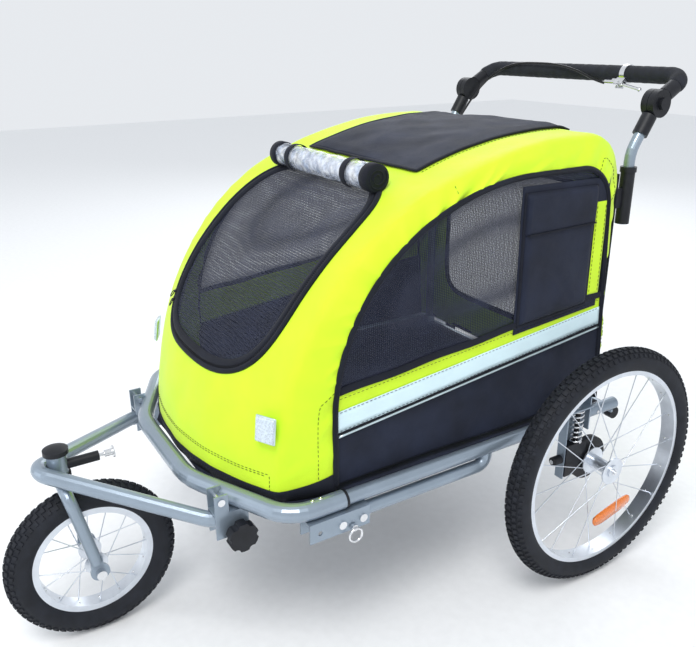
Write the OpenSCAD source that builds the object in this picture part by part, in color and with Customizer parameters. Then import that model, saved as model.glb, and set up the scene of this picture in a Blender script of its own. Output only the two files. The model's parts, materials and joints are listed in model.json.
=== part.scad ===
// Bicycle trailer for a pet or a child, set up as a stroller with a swivelling front wheel.
// Millimetres. +X is the trailer's left side, -Y its front and +Z is up.
// The origin is on the floor, below the middle of the trailer.

/* [Rear wheels] */
// Rear wheel radius over the tread (20 inch wheel)
rear_wheel_r = 250; // [246:1:252]
// Distance from the middle plane to each rear wheel
rear_wheel_x = 386; // [386:1:396]
// Rear axle, back from the origin
rear_axle_y = 405; // [404:1:408]
// Travel of the rear suspension
strut_travel = 18; // [10:1:18]

/* [Front wheel] */
// Front wheel radius over the tread (12.5 inch wheel)
front_wheel_r = 155; // [152:1:156]
// Front axle, measured along Y
front_axle_y = -508; // [-512:1:-506]
// Swivel axis of the front wheel, measured along Y
head_y = -543; // [-545:1:-541]

/* [Frame] */
// Half distance between the side rails
rail_x = 322; // [320:1:323]
// Height of the side rails and of the front tube
rail_z = 338; // [337:1:339]
// Radius of the front tube
front_tube_r = 16; // [15:0.5:16]
// Radius of the side rails and the cross tubes
rail_r = 12.5; // [12:0.5:12.5]

/* [Cabin] */
// Half width of the cabin at its hoops
cabin_half_w = 278; // [277:1:279]
// Half width of the cabin at its side panels
side_x = 300; // [299:1:301]
// How far the lower front bulges forward
nose_bulge = 80; // [60:1:82]
// Thickness of the fabric panels
fabric_t = 2.5; // [2:0.1:2.6]

/* [Handle] */
// Half distance between the handle's uprights
handle_x = 273; // [272:1:274]
// Tilt pivot of the handle, measured along Y
handle_pivot_y = 570; // [569:1:572]
// Tilt pivot of the handle above the floor
handle_pivot_z = 930; // [928:1:934]
// Radius of the foam grip
grip_r = 17; // [16:0.5:17.5]

/* [Hidden] */
$fn = 48;

LEFT = 1;
RIGHT = -1;
UP = [0, 0, 1];

// Colours
fabric_yellow = "#c8ff2a";
fabric_black = "#1c1f2c";
tube_grey = "#8e98a8";
plastic_black = "#17181c";
bright_steel = "#c4c8cc";
tyre_black = "#1a1b20";

// Main frame
front_corner = [rail_x, -257, rail_z];
front_nose = [123, -354, rail_z];
front_tube_end_y = -160;
front_tube_path = [
    [-rail_x, front_tube_end_y, rail_z], [-front_corner.x, front_corner.y, rail_z],
    [-front_nose.x, front_nose.y, rail_z], front_nose, front_corner,
    [rail_x, front_tube_end_y, rail_z]
];
front_tube_bends = [65, 150, 150, 65];
rail_rear_y = 498;
rear_tube_y = 506;
rear_tube_z = 311;
mid_tube_y = 405;
mid_tube_z = 322;
floor_z = 336;
floor_t = 5;

// Cabin outline at the hoops: straight front, two arcs, flat roof and rear corner
hem_z = 352;
nose_y = -254;
nose_straight_z = 383;
front_arc_r = 470;
arc_change = 23.5;
roof_arc_r = 868;
roof_flat = 23;
rear_corner_r = 80;
front_arc_c = [nose_y + front_arc_r, nose_straight_z];
roof_arc_c = front_arc_c + (front_arc_r - roof_arc_r) * [-sin(arc_change), cos(arc_change)];
rear_corner_c = roof_arc_c + [roof_flat, roof_arc_r - rear_corner_r];
rear_y = rear_corner_c.x + rear_corner_r;
bulge_top_z = 800;

// Lengths along the cabin outline, from the hem
nose_len = nose_straight_z - hem_z;
front_arc_len = front_arc_r * (90 - arc_change) * PI / 180;

// Front window, in distance across and distance along the cabin outline
window_half_w = 214;
window_mid = 375;
window_half_h = 207;
window_power = 3.6;
front_panel_top = 600;

// Edges of the side window and of the yellow band below it
band_top = [534, 0.0985];
band_bottom = [466, 0.113];

// Rear suspension
strut_x = 350.2;
strut_y = 360;
strut_half = 31;
bracket_x = rail_x + rail_r + 0.1;
bracket_t = 2.8;
block_top_z = 300;
spring_seat_z = 372;
housing_r = 46;
axle_r = 6;
axle_end_x = rear_wheel_x + 31;

// Swivel head and fork
arm_r = 13.5;
arm_end = [218, -300, 300];
arm_elbow = [218, -345, 302];
head_r = 17;
head_low_z = 345;
head_top_z = 384;
lock_z = 358;
fork_crown_z = 326;

// Handle
bar_corner = [handle_x, 648, 976];
pivot = [handle_x, handle_pivot_y, handle_pivot_z];
upright_bend = [handle_x, 515, 843];
bar_dir = (bar_corner - pivot) / norm(bar_corner - pivot);
upright_dir = (upright_bend - pivot) / norm(upright_bend - pivot);
lever_x = 137;
lever_lean = -48;

// Route of the brake cable: from the lever over the bar to the right upright
cable_r = 2.5;
cable_upper_route = [
    [96.6, 627, 957], [70, 624, 964], [20, 624, 980], [-40, 627, 990], [-100, 629, 992],
    [-160, 630, 990], [-205, 626, 980], [-235, 612, 960], [-248, 592, 937],
    [-250, 568, 912], [-250, 545, 885], [-250, 522, 855], [-250, 504, 825]
];
// and from there down the back of the cabin to the right wheel carrier
cable_lower_route = [
    [-250, 503.4, 823.6], [-250, 493, 795], [-250, 488, 740], [-251, 486, 660],
    [-254, 486, 560], [-260, 487, 470], [-272, 488, 405], [-290, 486, 362],
    [-306, 484, 330], [-322, 480, 300], [-336, 472, 280], [-343, 462, 269],
    [-344, 453, 264]
];

// ---------------------------------------------------------------- helpers

// Rod between two points
module rod(a, b, r) {
    d = b - a;
    translate(a)
        rotate([0, acos(d.z / norm(d)), atan2(d.y, d.x)])
            cylinder(h = norm(d), r = r);
}

// Cylinder along X from x1 to x2 at [y, z]
module x_rod(x1, x2, at, r) {
    translate([x1, at.x, at.y])
        rotate([0, 90, 0])
            cylinder(h = x2 - x1, r = r);
}

// Box between two corners
module box(low, high) {
    translate(low)
        cube(high - low);
}

// Mirrors its children to the left or the right side
module on_side(side) {
    mirror([side == RIGHT ? 1 : 0, 0, 0])
        children();
}

function unit(v) = v / norm(v);
function turn_at(p, i) =
    acos(max(-1, min(1, unit(p[i] - p[i - 1]) * unit(p[i + 1] - p[i]))));

// Corner points with each inner corner rounded to its bend radius, every bend_step degrees
bend_step = 12;
function bend_points(a, b, c, bend_r) =
    let (d_in = unit(b - a),
         d_out = unit(c - b),
         angle = acos(max(-1, min(1, d_in * d_out))),
         inward = unit(d_out - d_in * (d_out * d_in)),
         centre = b - d_in * bend_r * tan(angle / 2) + inward * bend_r,
         steps = ceil(angle / bend_step))
        [for (k = [0 : steps])
            centre + bend_r * (d_in * sin(angle * k / steps) - inward * cos(angle * k / steps))];
function rounded(p, bends) = concat(
    [p[0]],
    [for (i = [1 : len(p) - 2]) each bend_points(p[i - 1], p[i], p[i + 1], bends[i - 1])],
    [p[len(p) - 1]]
);

// Rings of points round a path, each square to it; ref is never along the path
function path_dir(p, i) = unit(p[min(i + 1, len(p) - 1)] - p[max(i - 1, 0)]);
function rings_round(p, r, ref, sides) = [
    for (i = [0 : len(p) - 1])
        let (d = path_dir(p, i), across = unit(cross(d, ref)), up = cross(d, across))
            [for (k = [0 : sides - 1])
                p[i] + r * (cos(k * 360 / sides) * across + sin(k * 360 / sides) * up)]
];
// Side faces between neighbouring rings, whose first point is number first
function ring_faces(n, sides, first) = [
    for (i = [0 : n - 2], k = [0 : sides - 1])
        let (a = first + i * sides + k, b = first + i * sides + (k + 1) % sides)
            each [[a, a + sides, b], [b, a + sides, b + sides]]
];

// Solid rod swept along a path
module swept_rod(p, r, ref, sides) {
    n = len(p);
    polyhedron(
        points = [for (ring = rings_round(p, r, ref, sides)) each ring],
        faces = concat(
            [[for (k = [0 : sides - 1]) k]],
            ring_faces(n, sides, 0),
            [[for (k = [sides - 1 : -1 : 0]) (n - 1) * sides + k]]
        )
    );
}

// Tube swept along a path, open at both ends
module swept_tube(p, r, wall, ref, sides) {
    n = len(p);
    inner = n * sides;
    function end_faces(first, flip) = [
        for (k = [0 : sides - 1])
            let (a = first + k, b = first + (k + 1) % sides)
                each flip ? [[a, inner + a, b], [b, inner + a, inner + b]]
                          : [[a, b, inner + a], [b, inner + b, inner + a]]
    ];
    polyhedron(
        points = concat([for (ring = rings_round(p, r, ref, sides)) each ring],
                        [for (ring = rings_round(p, r - wall, ref, sides)) each ring]),
        faces = concat(
            ring_faces(n, sides, 0),
            [for (f = ring_faces(n, sides, inner)) [f[0], f[2], f[1]]],
            end_faces(0, false),
            end_faces((n - 1) * sides, true)
        )
    );
}

// Tube with one bend, open at both ends
module bent_tube(p, bend_r, r, wall) {
    angle = turn_at(p, 1);
    d_in = unit(p[1] - p[0]);
    d_out = unit(p[2] - p[1]);
    inward = unit(d_out - d_in * (d_out * d_in));
    gone = bend_r * tan(angle / 2);
    centre = p[1] - d_in * gone + inward * bend_r;
    axis = cross(-inward, d_in);
    module solid(tube_r) {
        rod(p[0], p[1] - d_in * gone, tube_r);
        rod(p[1] + d_out * gone, p[2], tube_r);
        multmatrix([
            [-inward.x, d_in.x, axis.x, centre.x],
            [-inward.y, d_in.y, axis.y, centre.y],
            [-inward.z, d_in.z, axis.z, centre.z]
        ])
            rotate_extrude(angle = angle)
                translate([bend_r, 0])
                    circle(r = tube_r);
    }
    difference() {
        solid(r);
        solid(r - wall);
    }
}

// Closed solid between two grids of points; wrap joins the last column to the first
module skin(outer, inner, wrap = false) {
    rows = len(outer);
    cols = len(outer[0]);
    last = wrap ? cols - 1 : cols - 2;
    side = rows * cols;
    function at(i, j) = i * cols + (j % cols);
    polyhedron(
        points = concat([for (row = outer) each row], [for (row = inner) each row]),
        faces = concat(
            [for (i = [0 : rows - 2], j = [0 : last])
                each [[at(i, j), at(i, j + 1), at(i + 1, j + 1)],
                      [at(i, j), at(i + 1, j + 1), at(i + 1, j)]]],
            [for (i = [0 : rows - 2], j = [0 : last])
                each [[side + at(i, j), side + at(i + 1, j + 1), side + at(i, j + 1)],
                      [side + at(i, j), side + at(i + 1, j), side + at(i + 1, j + 1)]]],
            [for (j = [0 : last])
                each [[at(0, j), side + at(0, j + 1), at(0, j + 1)],
                      [at(0, j), side + at(0, j), side + at(0, j + 1)],
                      [at(rows - 1, j), at(rows - 1, j + 1), side + at(rows - 1, j + 1)],
                      [at(rows - 1, j), side + at(rows - 1, j + 1), side + at(rows - 1, j)]]],
            wrap ? [] : [for (i = [0 : rows - 2])
                each [[at(i, 0), at(i + 1, 0), side + at(i + 1, 0)],
                      [at(i, 0), side + at(i + 1, 0), side + at(i, 0)],
                      [at(i, cols - 1), side + at(i + 1, cols - 1), at(i + 1, cols - 1)],
                      [at(i, cols - 1), side + at(i, cols - 1), side + at(i + 1, cols - 1)]]]
        )
    );
}

// Smooth curve through hand-set points
function curve_point(a, b, c, d, t) =
    0.5 * (2 * b + (c - a) * t + (2 * a - 5 * b + 4 * c - d) * t * t
        + (3 * b - a - 3 * c + d) * t * t * t);
function smooth_route(p, steps) = [
    for (i = [0 : len(p) - 2], k = [0 : steps - 1])
        curve_point(p[max(i - 1, 0)], p[i], p[i + 1], p[min(i + 2, len(p) - 1)], k / steps),
    p[len(p) - 1]
];
cable_ref = [0.3, 1, 0.2];

// ---------------------------------------------------------------- main frame

module front_frame_tube() {
    color(tube_grey)
        swept_tube(rounded(front_tube_path, front_tube_bends), front_tube_r, 2, UP, 20);
}

module front_tube_envelope() {
    for (side = [LEFT, RIGHT])
        on_side(side) {
            rod(front_nose, front_corner, front_tube_r + 0.1);
            rod([rail_x, front_corner.y + 30, rail_z], [rail_x, front_tube_end_y, rail_z],
                front_tube_r + 0.1);
        }
}

module side_rails() {
    color(tube_grey)
        for (side = [LEFT, RIGHT])
            on_side(side)
                difference() {
                    rod([rail_x, front_tube_end_y - 25, rail_z], [rail_x, rail_rear_y, rail_z],
                        rail_r);
                    rod([rail_x, front_tube_end_y - 26, rail_z],
                        [rail_x, rail_rear_y + 1, rail_z], rail_r - 2);
                }
}

module rail_envelope() {
    for (side = [LEFT, RIGHT])
        on_side(side)
            rod([rail_x, front_tube_end_y, rail_z], [rail_x, rail_rear_y + 1, rail_z], rail_r);
}

module cross_tubes() {
    post_low = [290, rear_tube_y - 19, rear_tube_z + 2];
    post_high = [305.8, rear_tube_y - 6, rail_z - rail_r - 0.1];
    shelf_high = [rail_x + 6, rear_tube_y - 13.5, post_high.z];
    saddle_low = [300, mid_tube_y - 9, mid_tube_z - 8];
    saddle_high = [rail_x + 8, mid_tube_y + 9, rail_z - rail_r - 0.1];
    color(tube_grey) {
        difference() {
            union() {
                x_rod(-306, 306, [rear_tube_y, rear_tube_z], rail_r);
                for (side = [LEFT, RIGHT])
                    on_side(side) {
                        box(post_low, post_high);
                        box([post_low.x, post_low.y, post_high.z - 6], shelf_high);
                    }
            }
            x_rod(-330, 330, [rear_tube_y, rear_tube_z], rail_r - 2);
        }
        difference() {
            union() {
                x_rod(-309, 309, [mid_tube_y, mid_tube_z], rail_r);
                for (side = [LEFT, RIGHT])
                    on_side(side)
                        box(saddle_low, saddle_high);
            }
            x_rod(-340, 340, [mid_tube_y, mid_tube_z], rail_r - 2);
        }
    }
}

module frame_end_caps() {
    color(plastic_black)
        for (side = [LEFT, RIGHT])
            on_side(side) {
                x_rod(306.2, 322, [rear_tube_y, rear_tube_z], rail_r + 0.4);
                difference() {
                    rod([rail_x, front_tube_end_y + 0.2, rail_z],
                        [rail_x, front_tube_end_y + 4.5, rail_z], front_tube_r + 0.6);
                    rod([rail_x, front_tube_end_y - 1, rail_z],
                        [rail_x, front_tube_end_y + 6, rail_z], rail_r);
                }
                rod([344, strut_y - strut_half - 0.8 - 20, 268],
                    [344, strut_y - strut_half - 0.8, 268], 9);
            }
}

module floor_panel() {
    color(fabric_black)
        translate([0, 0, floor_z])
            linear_extrude(floor_t)
                polygon([
                    [305.2, 474], [305.2, -212], [302.6, -228], [297.5, -237], [112, -331],
                    [-112, -331], [-297.5, -237], [-302.6, -228], [-305.2, -212], [-305.2, 474]
                ]);
}

// ---------------------------------------------------------------- cabin frame

hoop_r = 9.5;
hoop_x = 262;
hoop_inset = 13;
rear_bar_z = 790;

// Centreline of the left hoop: up the front, over the roof and down the back
function hoop_line() =
    let (c1 = front_arc_c, c2 = roof_arc_c, c3 = rear_corner_c, t = hoop_inset)
        [for (q = concat(
            [[nose_y + t, hem_z + 8]],
            arc_points(c1, front_arc_r - t, 90, arc_change, 8),
            [for (k = [1 : 4]) arc_points(c2, roof_arc_r - t, arc_change, 0, 4)[k]],
            arc_points(c3, rear_corner_r - t, 0, -90, 6),
            [[rear_y - t, hem_z + 4]]
        )) [hoop_x, q.x, q.y]];

// Point on the cabin outline at a distance from the hem, moved in by t
function heading_at(s) =
    s < nose_len ? 90
    : s < nose_len + front_arc_len ? 90 - (s - nose_len) / front_arc_r * 180 / PI
    : max(0, arc_change - (s - nose_len - front_arc_len) / roof_arc_r * 180 / PI);
function outline_at(s, t = 0) =
    let (a = heading_at(s))
        s < nose_len ? [nose_y + t, hem_z + s]
        : s < nose_len + front_arc_len
            ? front_arc_c + (front_arc_r - t) * [-sin(a), cos(a)]
            : roof_arc_c + (roof_arc_r - t) * [-sin(a), cos(a)];

module cabin_hoops() {
    bar = outline_at(nose_len + front_arc_len, hoop_inset + 3);
    color(tube_grey) {
        for (side = [LEFT, RIGHT])
            on_side(side) {
                swept_rod(hoop_line(), hoop_r, [1, 0, 0], 12);
                box([hoop_x - 10, nose_y + 2, floor_z + floor_t], [hoop_x + 10, nose_y + 26, hem_z + 8]);
                box([hoop_x - 10, rear_y - 24, floor_z + floor_t], [hoop_x + 10, rear_y - 3, hem_z + 4]);
            }
        x_rod(-hoop_x, hoop_x, bar, 7);
        x_rod(-hoop_x, hoop_x, [rear_y - hoop_inset - 3, rear_bar_z], 7);
    }
}

// ---------------------------------------------------------------- cabin fabric

function smooth_step(u) = u * u * (3 - 2 * u);
function bulge_at(z) = nose_bulge * smooth_step(max(0, min(1, (bulge_top_z - z) / 450)));

// Point on the front of the cabin: x across, s along the outline
function front_point(x, s, t) =
    let (p = outline_at(s, t))
        [x, p.x - bulge_at(p.y) * (1 - pow(x / cabin_half_w, 2)), p.y];

// Edge of the front window in a direction from its middle
function signed_power(v, k) = sign(v) * pow(abs(v), k);
function window_edge(a) = [
    window_half_w * signed_power(cos(a), 2 / window_power),
    window_mid + window_half_h * signed_power(sin(a), 2 / window_power)
];
function window_angle(x, s) =
    let (u = x / window_half_w, v = (s - window_mid) / window_half_h)
        atan2(signed_power(v, window_power / 2), signed_power(u, window_power / 2));

side_steps = 16;
end_steps = 14;
panel_edge = concat(
    [for (k = [0 : side_steps - 1]) [cabin_half_w, front_panel_top * k / side_steps]],
    [for (k = [0 : end_steps - 1]) [cabin_half_w * (1 - 2 * k / end_steps), front_panel_top]],
    [for (k = [0 : side_steps - 1])
        [-cabin_half_w, front_panel_top * (1 - k / side_steps)]],
    [for (k = [0 : end_steps - 1]) [-cabin_half_w * (1 - 2 * k / end_steps), 0]]
);
ring_steps = 5;

module cover_front() {
    function ring_row(k, t) = [
        for (e = panel_edge)
            let (w = window_edge(window_angle(e.x, e.y)),
                 q = w + (e - w) * k / ring_steps)
                front_point(q.x, q.y, t)
    ];
    color(fabric_yellow)
        skin([for (k = [0 : ring_steps]) ring_row(k, 0)],
             [for (k = [0 : ring_steps]) ring_row(k, fabric_t)], wrap = true);
}

mesh_t = 1.5;
mesh_steps = 6;
module front_window() {
    function cell(i, j, t) =
        let (u = i / mesh_steps,
             v = j / mesh_steps,
             reach = 0.998 * max(abs(u), abs(v)),
             w = window_edge(window_angle(u * window_half_w,
                                          window_mid + v * window_half_h)),
             q = reach == 0 ? [0, window_mid] : [0, window_mid] + reach * (w - [0, window_mid]))
            front_point(q.x, q.y, t);
    color(fabric_black)
        skin([for (j = [-mesh_steps : mesh_steps])
                 [for (i = [mesh_steps : -1 : -mesh_steps]) cell(i, j, 0.5)]],
             [for (j = [-mesh_steps : mesh_steps])
                 [for (i = [mesh_steps : -1 : -mesh_steps]) cell(i, j, 0.5 + mesh_t)]]);
}

// Points on an arc of the outline; the heading is 90 when it climbs and 0 when it is level
function arc_points(c, r, from, to, steps) = [
    for (k = [0 : steps])
        let (a = from + (to - from) * k / steps)
            c + r * [-sin(a), cos(a)]
];

// Strip of the cabin outline between two headings, out by r_add
function roof_line(from, t) = concat(
    arc_points(roof_arc_c, roof_arc_r - t, from, 0, 8),
    [rear_corner_c + [0, rear_corner_r - t]]
);
function reversed(p) = [for (i = [len(p) - 1 : -1 : 0]) p[i]];

// Upright slab of the cabin's width with an outline in the YZ plane
module across(half_w) {
    rotate([90, 0, 90])
        translate([0, 0, -half_w])
            linear_extrude(2 * half_w)
                children();
}

module cover_roof() {
    start = heading_at(front_panel_top);
    rear = arc_points(rear_corner_c, rear_corner_r, 0, -90, 8);
    rear_in = arc_points(rear_corner_c, rear_corner_r - fabric_t, 0, -90, 8);
    color(fabric_yellow)
        across(cabin_half_w)
            polygon(concat(roof_line(start, 0), rear, reversed(rear_in),
                           reversed(roof_line(start, fabric_t))));
}

roof_panel_half_w = 186;
module roof_panel() {
    color(fabric_black)
        across(roof_panel_half_w)
            polygon(concat(roof_line(19, -1.7), reversed(roof_line(19, -0.5))));
}

// Outline of the cabin at one inset: hem, front, roof, rear corner and rear hem
function side_outline(front_y, front_z, r1, h, r2, flat, rc, turn, t) =
    let (c1 = [front_y + r1, front_z],
         c2 = c1 + (r1 - r2) * [-sin(h), cos(h)],
         c3 = c2 + [flat, r2 - rc],
         rear = c3 + (rc - t) * [sin(turn), cos(turn)],
         drop = (rear.y - hem_z) / sin(turn),
         down = [cos(turn), -sin(turn)])
        concat([[front_y + t, hem_z]],
               arc_points(c1, r1 - t, 90, h, 10),
               [for (k = [1 : 6]) arc_points(c2, r2 - t, h, 0, 6)[k]],
               arc_points(c3, rc - t, 0, -turn, 5),
               [rear + drop * down / 2, rear + drop * down]);

// The piping runs round the side panel, well inside the hoop's outline
function piping(t) = side_outline(-160, 472, 340, 30, 470, 115, 75, 86, t);
function hoop_outline(t) =
    side_outline(nose_y, nose_straight_z, front_arc_r, arc_change, roof_arc_r, roof_flat,
                 rear_corner_r, 90, t);

// Shoulder of the cabin, between the hoop's outline and the piping
shoulder_steps = 4;
module shoulder() {
    function row(k, t) =
        let (a = hoop_outline(t), b = piping(0), u = k / shoulder_steps)
            [for (i = [0 : len(a) - 1])
                let (q = a[i] + (b[i] - a[i]) * u)
                    [cabin_half_w + (side_x - cabin_half_w) * sin(90 * u) - t * sin(90 * u),
                     q.x, q.y]];
    skin([for (k = [0 : shoulder_steps]) row(k, 0)],
         [for (k = [0 : shoulder_steps]) row(k, fabric_t)]);
}

// Part of the flat side panel between two sloping lines
module side_panel(low, high, x1, x2) {
    translate([x1, 0, 0])
        rotate([90, 0, 90])
            linear_extrude(x2 - x1)
                intersection() {
                    polygon(piping(0.2));
                    polygon([
                        [-300, low[0] - 300 * low[1]], [600, low[0] + 600 * low[1]],
                        [600, high[0] + 600 * high[1]], [-300, high[0] - 300 * high[1]]
                    ]);
                }
}

module cover_sides() {
    color(fabric_yellow)
        for (side = [LEFT, RIGHT])
            on_side(side) {
                shoulder();
                side_panel(band_bottom, band_top, side_x - fabric_t, side_x);
            }
}

module lower_panels() {
    color(fabric_black)
        for (side = [LEFT, RIGHT])
            on_side(side)
                side_panel([hem_z, 0], band_bottom, side_x - fabric_t + 0.2, side_x);
}

module side_windows() {
    color(fabric_black)
        for (side = [LEFT, RIGHT])
            on_side(side)
                side_panel(band_top, [900, 0], side_x - 2, side_x - 0.5);
}

rear_opening = [[-215, 440], [215, 780]];
module rear_window_shape(grow) {
    r = 40;
    low = rear_opening[0] + [r, r];
    high = rear_opening[1] - [r, r];
    hull()
        for (x = [low.x, high.x], z = [low.y, high.y])
            translate([x, z])
                circle(r = r + grow, $fn = 32);
}

module cover_rear() {
    color(fabric_yellow)
        translate([0, rear_y, 0])
            rotate([90, 0, 0])
                linear_extrude(fabric_t)
                    difference() {
                        translate([-cabin_half_w + 0.2, hem_z])
                            square([2 * cabin_half_w - 0.4, rear_corner_c.y - hem_z - 0.2]);
                        rear_window_shape(0);
                    }
}

module rear_window() {
    color(fabric_black)
        translate([0, rear_y - 0.5, 0])
            rotate([90, 0, 0])
                linear_extrude(mesh_t)
                    rear_window_shape(-0.3);
}

roll_r = 25;
module rolled_rain_cover() {
    p = outline_at(nose_len + front_arc_len - 10, -roll_r - 1);
    color("#dfe3e8")
        x_rod(-180, 180, p, roll_r);
}

module side_pocket() {
    color(fabric_black)
        translate([side_x + 0.4, 0, 0])
            rotate([90, 0, 90])
                linear_extrude(11)
                    polygon([[224, 556], [396, 570], [398, 798], [222, 800]]);
}

module front_reflectors() {
    color("#e8ecee")
        for (side = [LEFT, RIGHT])
            on_side(side)
                translate([264, -268, 471])
                    rotate([-8, 0, 28])
                        rotate([90, 0, 0])
                            linear_extrude(9)
                                for (x = [-8, 8])
                                    translate([x, 0])
                                        square([20, 44], center = true);
}

// ---------------------------------------------------------------- hitch

plate_in = 14.5;
plate_out = 17.5;
bracket_z = [286, 319];
bolt_y = [-172, -132];
bolt_z = 303;
free_hole = [-213, 301];
hole_r = 4.25;
pin_at = [-152, 293];
receiver_z = 305;

module hitch_bracket() {
    color(tube_grey)
        difference() {
            union() {
                for (x = [rail_x - plate_out, rail_x + plate_in])
                    box([x, -232, bracket_z.x], [x + plate_out - plate_in, -118, 322]);
                box([rail_x - plate_out, -232, bracket_z.y], [rail_x + plate_out, -118, 322]);
            }
            front_tube_envelope();
            rod([rail_x, front_tube_end_y - 0.2, rail_z], [rail_x, front_tube_end_y + 4.9, rail_z],
                front_tube_r + 0.8);
            for (y = bolt_y)
                x_rod(300, 345, [y, bolt_z], 4.1);
            x_rod(300, 345, free_hole, hole_r);
            x_rod(300, 345, pin_at, 3.2);
        }
}

module receiver_tube() {
    path = [[rail_x, -145, receiver_z], [rail_x, 150, receiver_z], [rail_x, 150, rail_z - 6]];
    color(tube_grey)
        difference() {
            bent_tube(path, 22, 12, 1.8);
            rail_envelope();
            x_rod(300, 345, [bolt_y.y, bolt_z], 4.1);
        }
}

module hitch_pin() {
    color(bright_steel) {
        x_rod(302, 342, pin_at, 3);
        x_rod(342, 348, pin_at, 6);
        translate([350, pin_at.x, pin_at.y - 12])
            rotate([0, 90, 0])
                rotate_extrude()
                    translate([12, 0])
                        circle(r = 2, $fn = 24);
    }
}

// Hexagon-headed bolt along X with a nut: shank from x1 to x2
module cross_bolt(x1, x2, at, r) {
    x_rod(x1 - 5, x2 + 4, at, r);
    x_rod(x2, x2 + 4, at, r * 1.8);
    x_rod(x1 - 5, x1, at, r * 1.7);
}

module frame_bolts() {
    color(bright_steel) {
        for (y = bolt_y)
            cross_bolt(rail_x - plate_out, rail_x + plate_out, [y, bolt_z], 4);
        for (side = [LEFT, RIGHT])
            on_side(side) {
                difference() {
                    cross_bolt(arm_end.x - 17, arm_end.x + 17, [-339, 346], 3.5);
                    rod(front_corner, front_nose, front_tube_r + 0.3);
                }
                for (y = [strut_y - 23, strut_y + 23])
                    x_rod(bracket_x + bracket_t, bracket_x + bracket_t + 3, [y, rail_z], 4);
                rod([344, strut_y - strut_half - 23.8, 268], [344, strut_y - strut_half - 20.8, 268],
                    4.5);
            }
    }
}

// ---------------------------------------------------------------- stroller arm and head

arm_bracket_z = [275, 322];
clamp_screw = [-312, 281];
module arm_brackets() {
    color(tube_grey)
        for (side = [LEFT, RIGHT])
            on_side(side)
                difference() {
                    union() {
                        for (x = [arm_end.x - 17, arm_end.x + 14])
                            box([x, -350, arm_bracket_z.x], [x + 3, -292, arm_bracket_z.y]);
                        for (x = [arm_end.x - 17, arm_end.x + 14])
                            box([x, -350, arm_bracket_z.y], [x + 3, -326, 357]);
                        box([arm_end.x - 17, -350, 319], [arm_end.x + 17, -292, 322]);
                    }
                    front_tube_envelope();
                    x_rod(190, 250, clamp_screw, 4.2);
                    x_rod(190, 250, [-339, 346], 3.5);
                }
}

module star_knob(side) {
    color(plastic_black)
        on_side(side) {
            x_rod(arm_end.x - 22, arm_end.x + 20, clamp_screw, 4);
            x_rod(arm_end.x + 17.4, arm_end.x + 24, clamp_screw, 13);
            translate([arm_end.x + 24, clamp_screw.x, clamp_screw.y])
                rotate([0, 90, 0])
                    difference() {
                        cylinder(h = 18, r = 26);
                        for (k = [0 : 5])
                            rotate(60 * k + 30)
                                translate([30, 0, -1])
                                    cylinder(h = 20, r = 7.5, $fn = 24);
                    }
        }
}

module left_arm_knob() {
    star_knob(LEFT);
}

module right_arm_knob() {
    star_knob(RIGHT);
}

steerer_r = 12.7;
// The arm's tube wraps the front of the head tube and is welded to it
module stroller_arm() {
    wrap_r = head_r + arm_r;
    tip = [0, head_y - 46.5, 362];
    path = [
        [-arm_end.x, arm_end.y, arm_end.z], [-arm_elbow.x, arm_elbow.y, arm_elbow.z], tip,
        arm_elbow, arm_end
    ];
    color(tube_grey)
        difference() {
            union() {
                difference() {
                    swept_tube(rounded(path, [55, wrap_r, 55]), arm_r, 2, UP, 16);
                    translate([0, head_y, head_low_z])
                        cylinder(h = head_top_z - head_low_z, r = head_r - 0.2);
                }
                translate([0, head_y, head_low_z])
                    cylinder(h = head_top_z - head_low_z, r = head_r);
            }
            translate([0, head_y, head_low_z - 1])
                cylinder(h = head_top_z - head_low_z + 2, r = steerer_r + 0.3);
            rod([0, head_y + 5, lock_z], [0, head_y + 25, lock_z], 3.3);
        }
}

lock_house_y = head_y + 70;
module head_fittings() {
    color(plastic_black) {
        translate([0, head_y, head_top_z]) {
            cylinder(h = 8, r = 21.5);
            translate([0, 0, 8])
                intersection() {
                    cylinder(h = 5, r = 21.5);
                    translate([0, 0, -55])
                        sphere(r = 59.2, $fn = 64);
                }
        }
        difference() {
            translate([0, head_y, head_low_z - 7])
                cylinder(h = 6.8, r = 20.5);
            translate([0, head_y, head_low_z - 8])
                cylinder(h = 9, r = steerer_r + 0.3);
        }
        difference() {
            rod([0, head_y + head_r - 4, lock_z], [0, lock_house_y, lock_z], 9);
            rod([0, head_y, lock_z], [0, lock_house_y + 1, lock_z], 3.3);
            translate([0, head_y, head_low_z])
                cylinder(h = head_top_z - head_low_z, r = head_r);
        }
    }
}

module lock_pin() {
    color(bright_steel)
        rod([0, head_y + 13.5, lock_z], [0, lock_house_y + 12, lock_z], 3);
    color(plastic_black) {
        rod([0, lock_house_y + 10, lock_z], [0, lock_house_y + 24, lock_z], 6);
        rod([0, lock_house_y + 24, lock_z], [0, lock_house_y + 27, lock_z], 11);
    }
}

fork_x = 52;
axle_z = front_wheel_r;
module fork() {
    crown = [46, head_y, fork_crown_z];
    knee = [51, head_y + 14, 262];
    toe = [fork_x, front_axle_y - 4, axle_z + 22];
    path = [
        [-toe.x, toe.y, toe.z], [-knee.x, knee.y, knee.z], [-crown.x, crown.y, crown.z],
        crown, knee, toe
    ];
    color(tube_grey)
        difference() {
            union() {
                swept_tube(rounded(path, [110, 30, 30, 110]), 11, 2, [0, 1, 0], 16);
                translate([0, head_y, fork_crown_z])
                    cylinder(h = head_top_z - 3 - fork_crown_z, r = steerer_r);
                for (side = [LEFT, RIGHT])
                    on_side(side) {
                        x_rod(49, 54, [front_axle_y, axle_z], 17);
                        box([49, front_axle_y - 15, axle_z], [54, front_axle_y + 7, axle_z + 30]);
                    }
            }
            x_rod(-60, 60, [front_axle_y, axle_z], 5);
            rod([0, head_y - 20, lock_z], [0, head_y + 20, lock_z], 3.4);
        }
}

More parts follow.
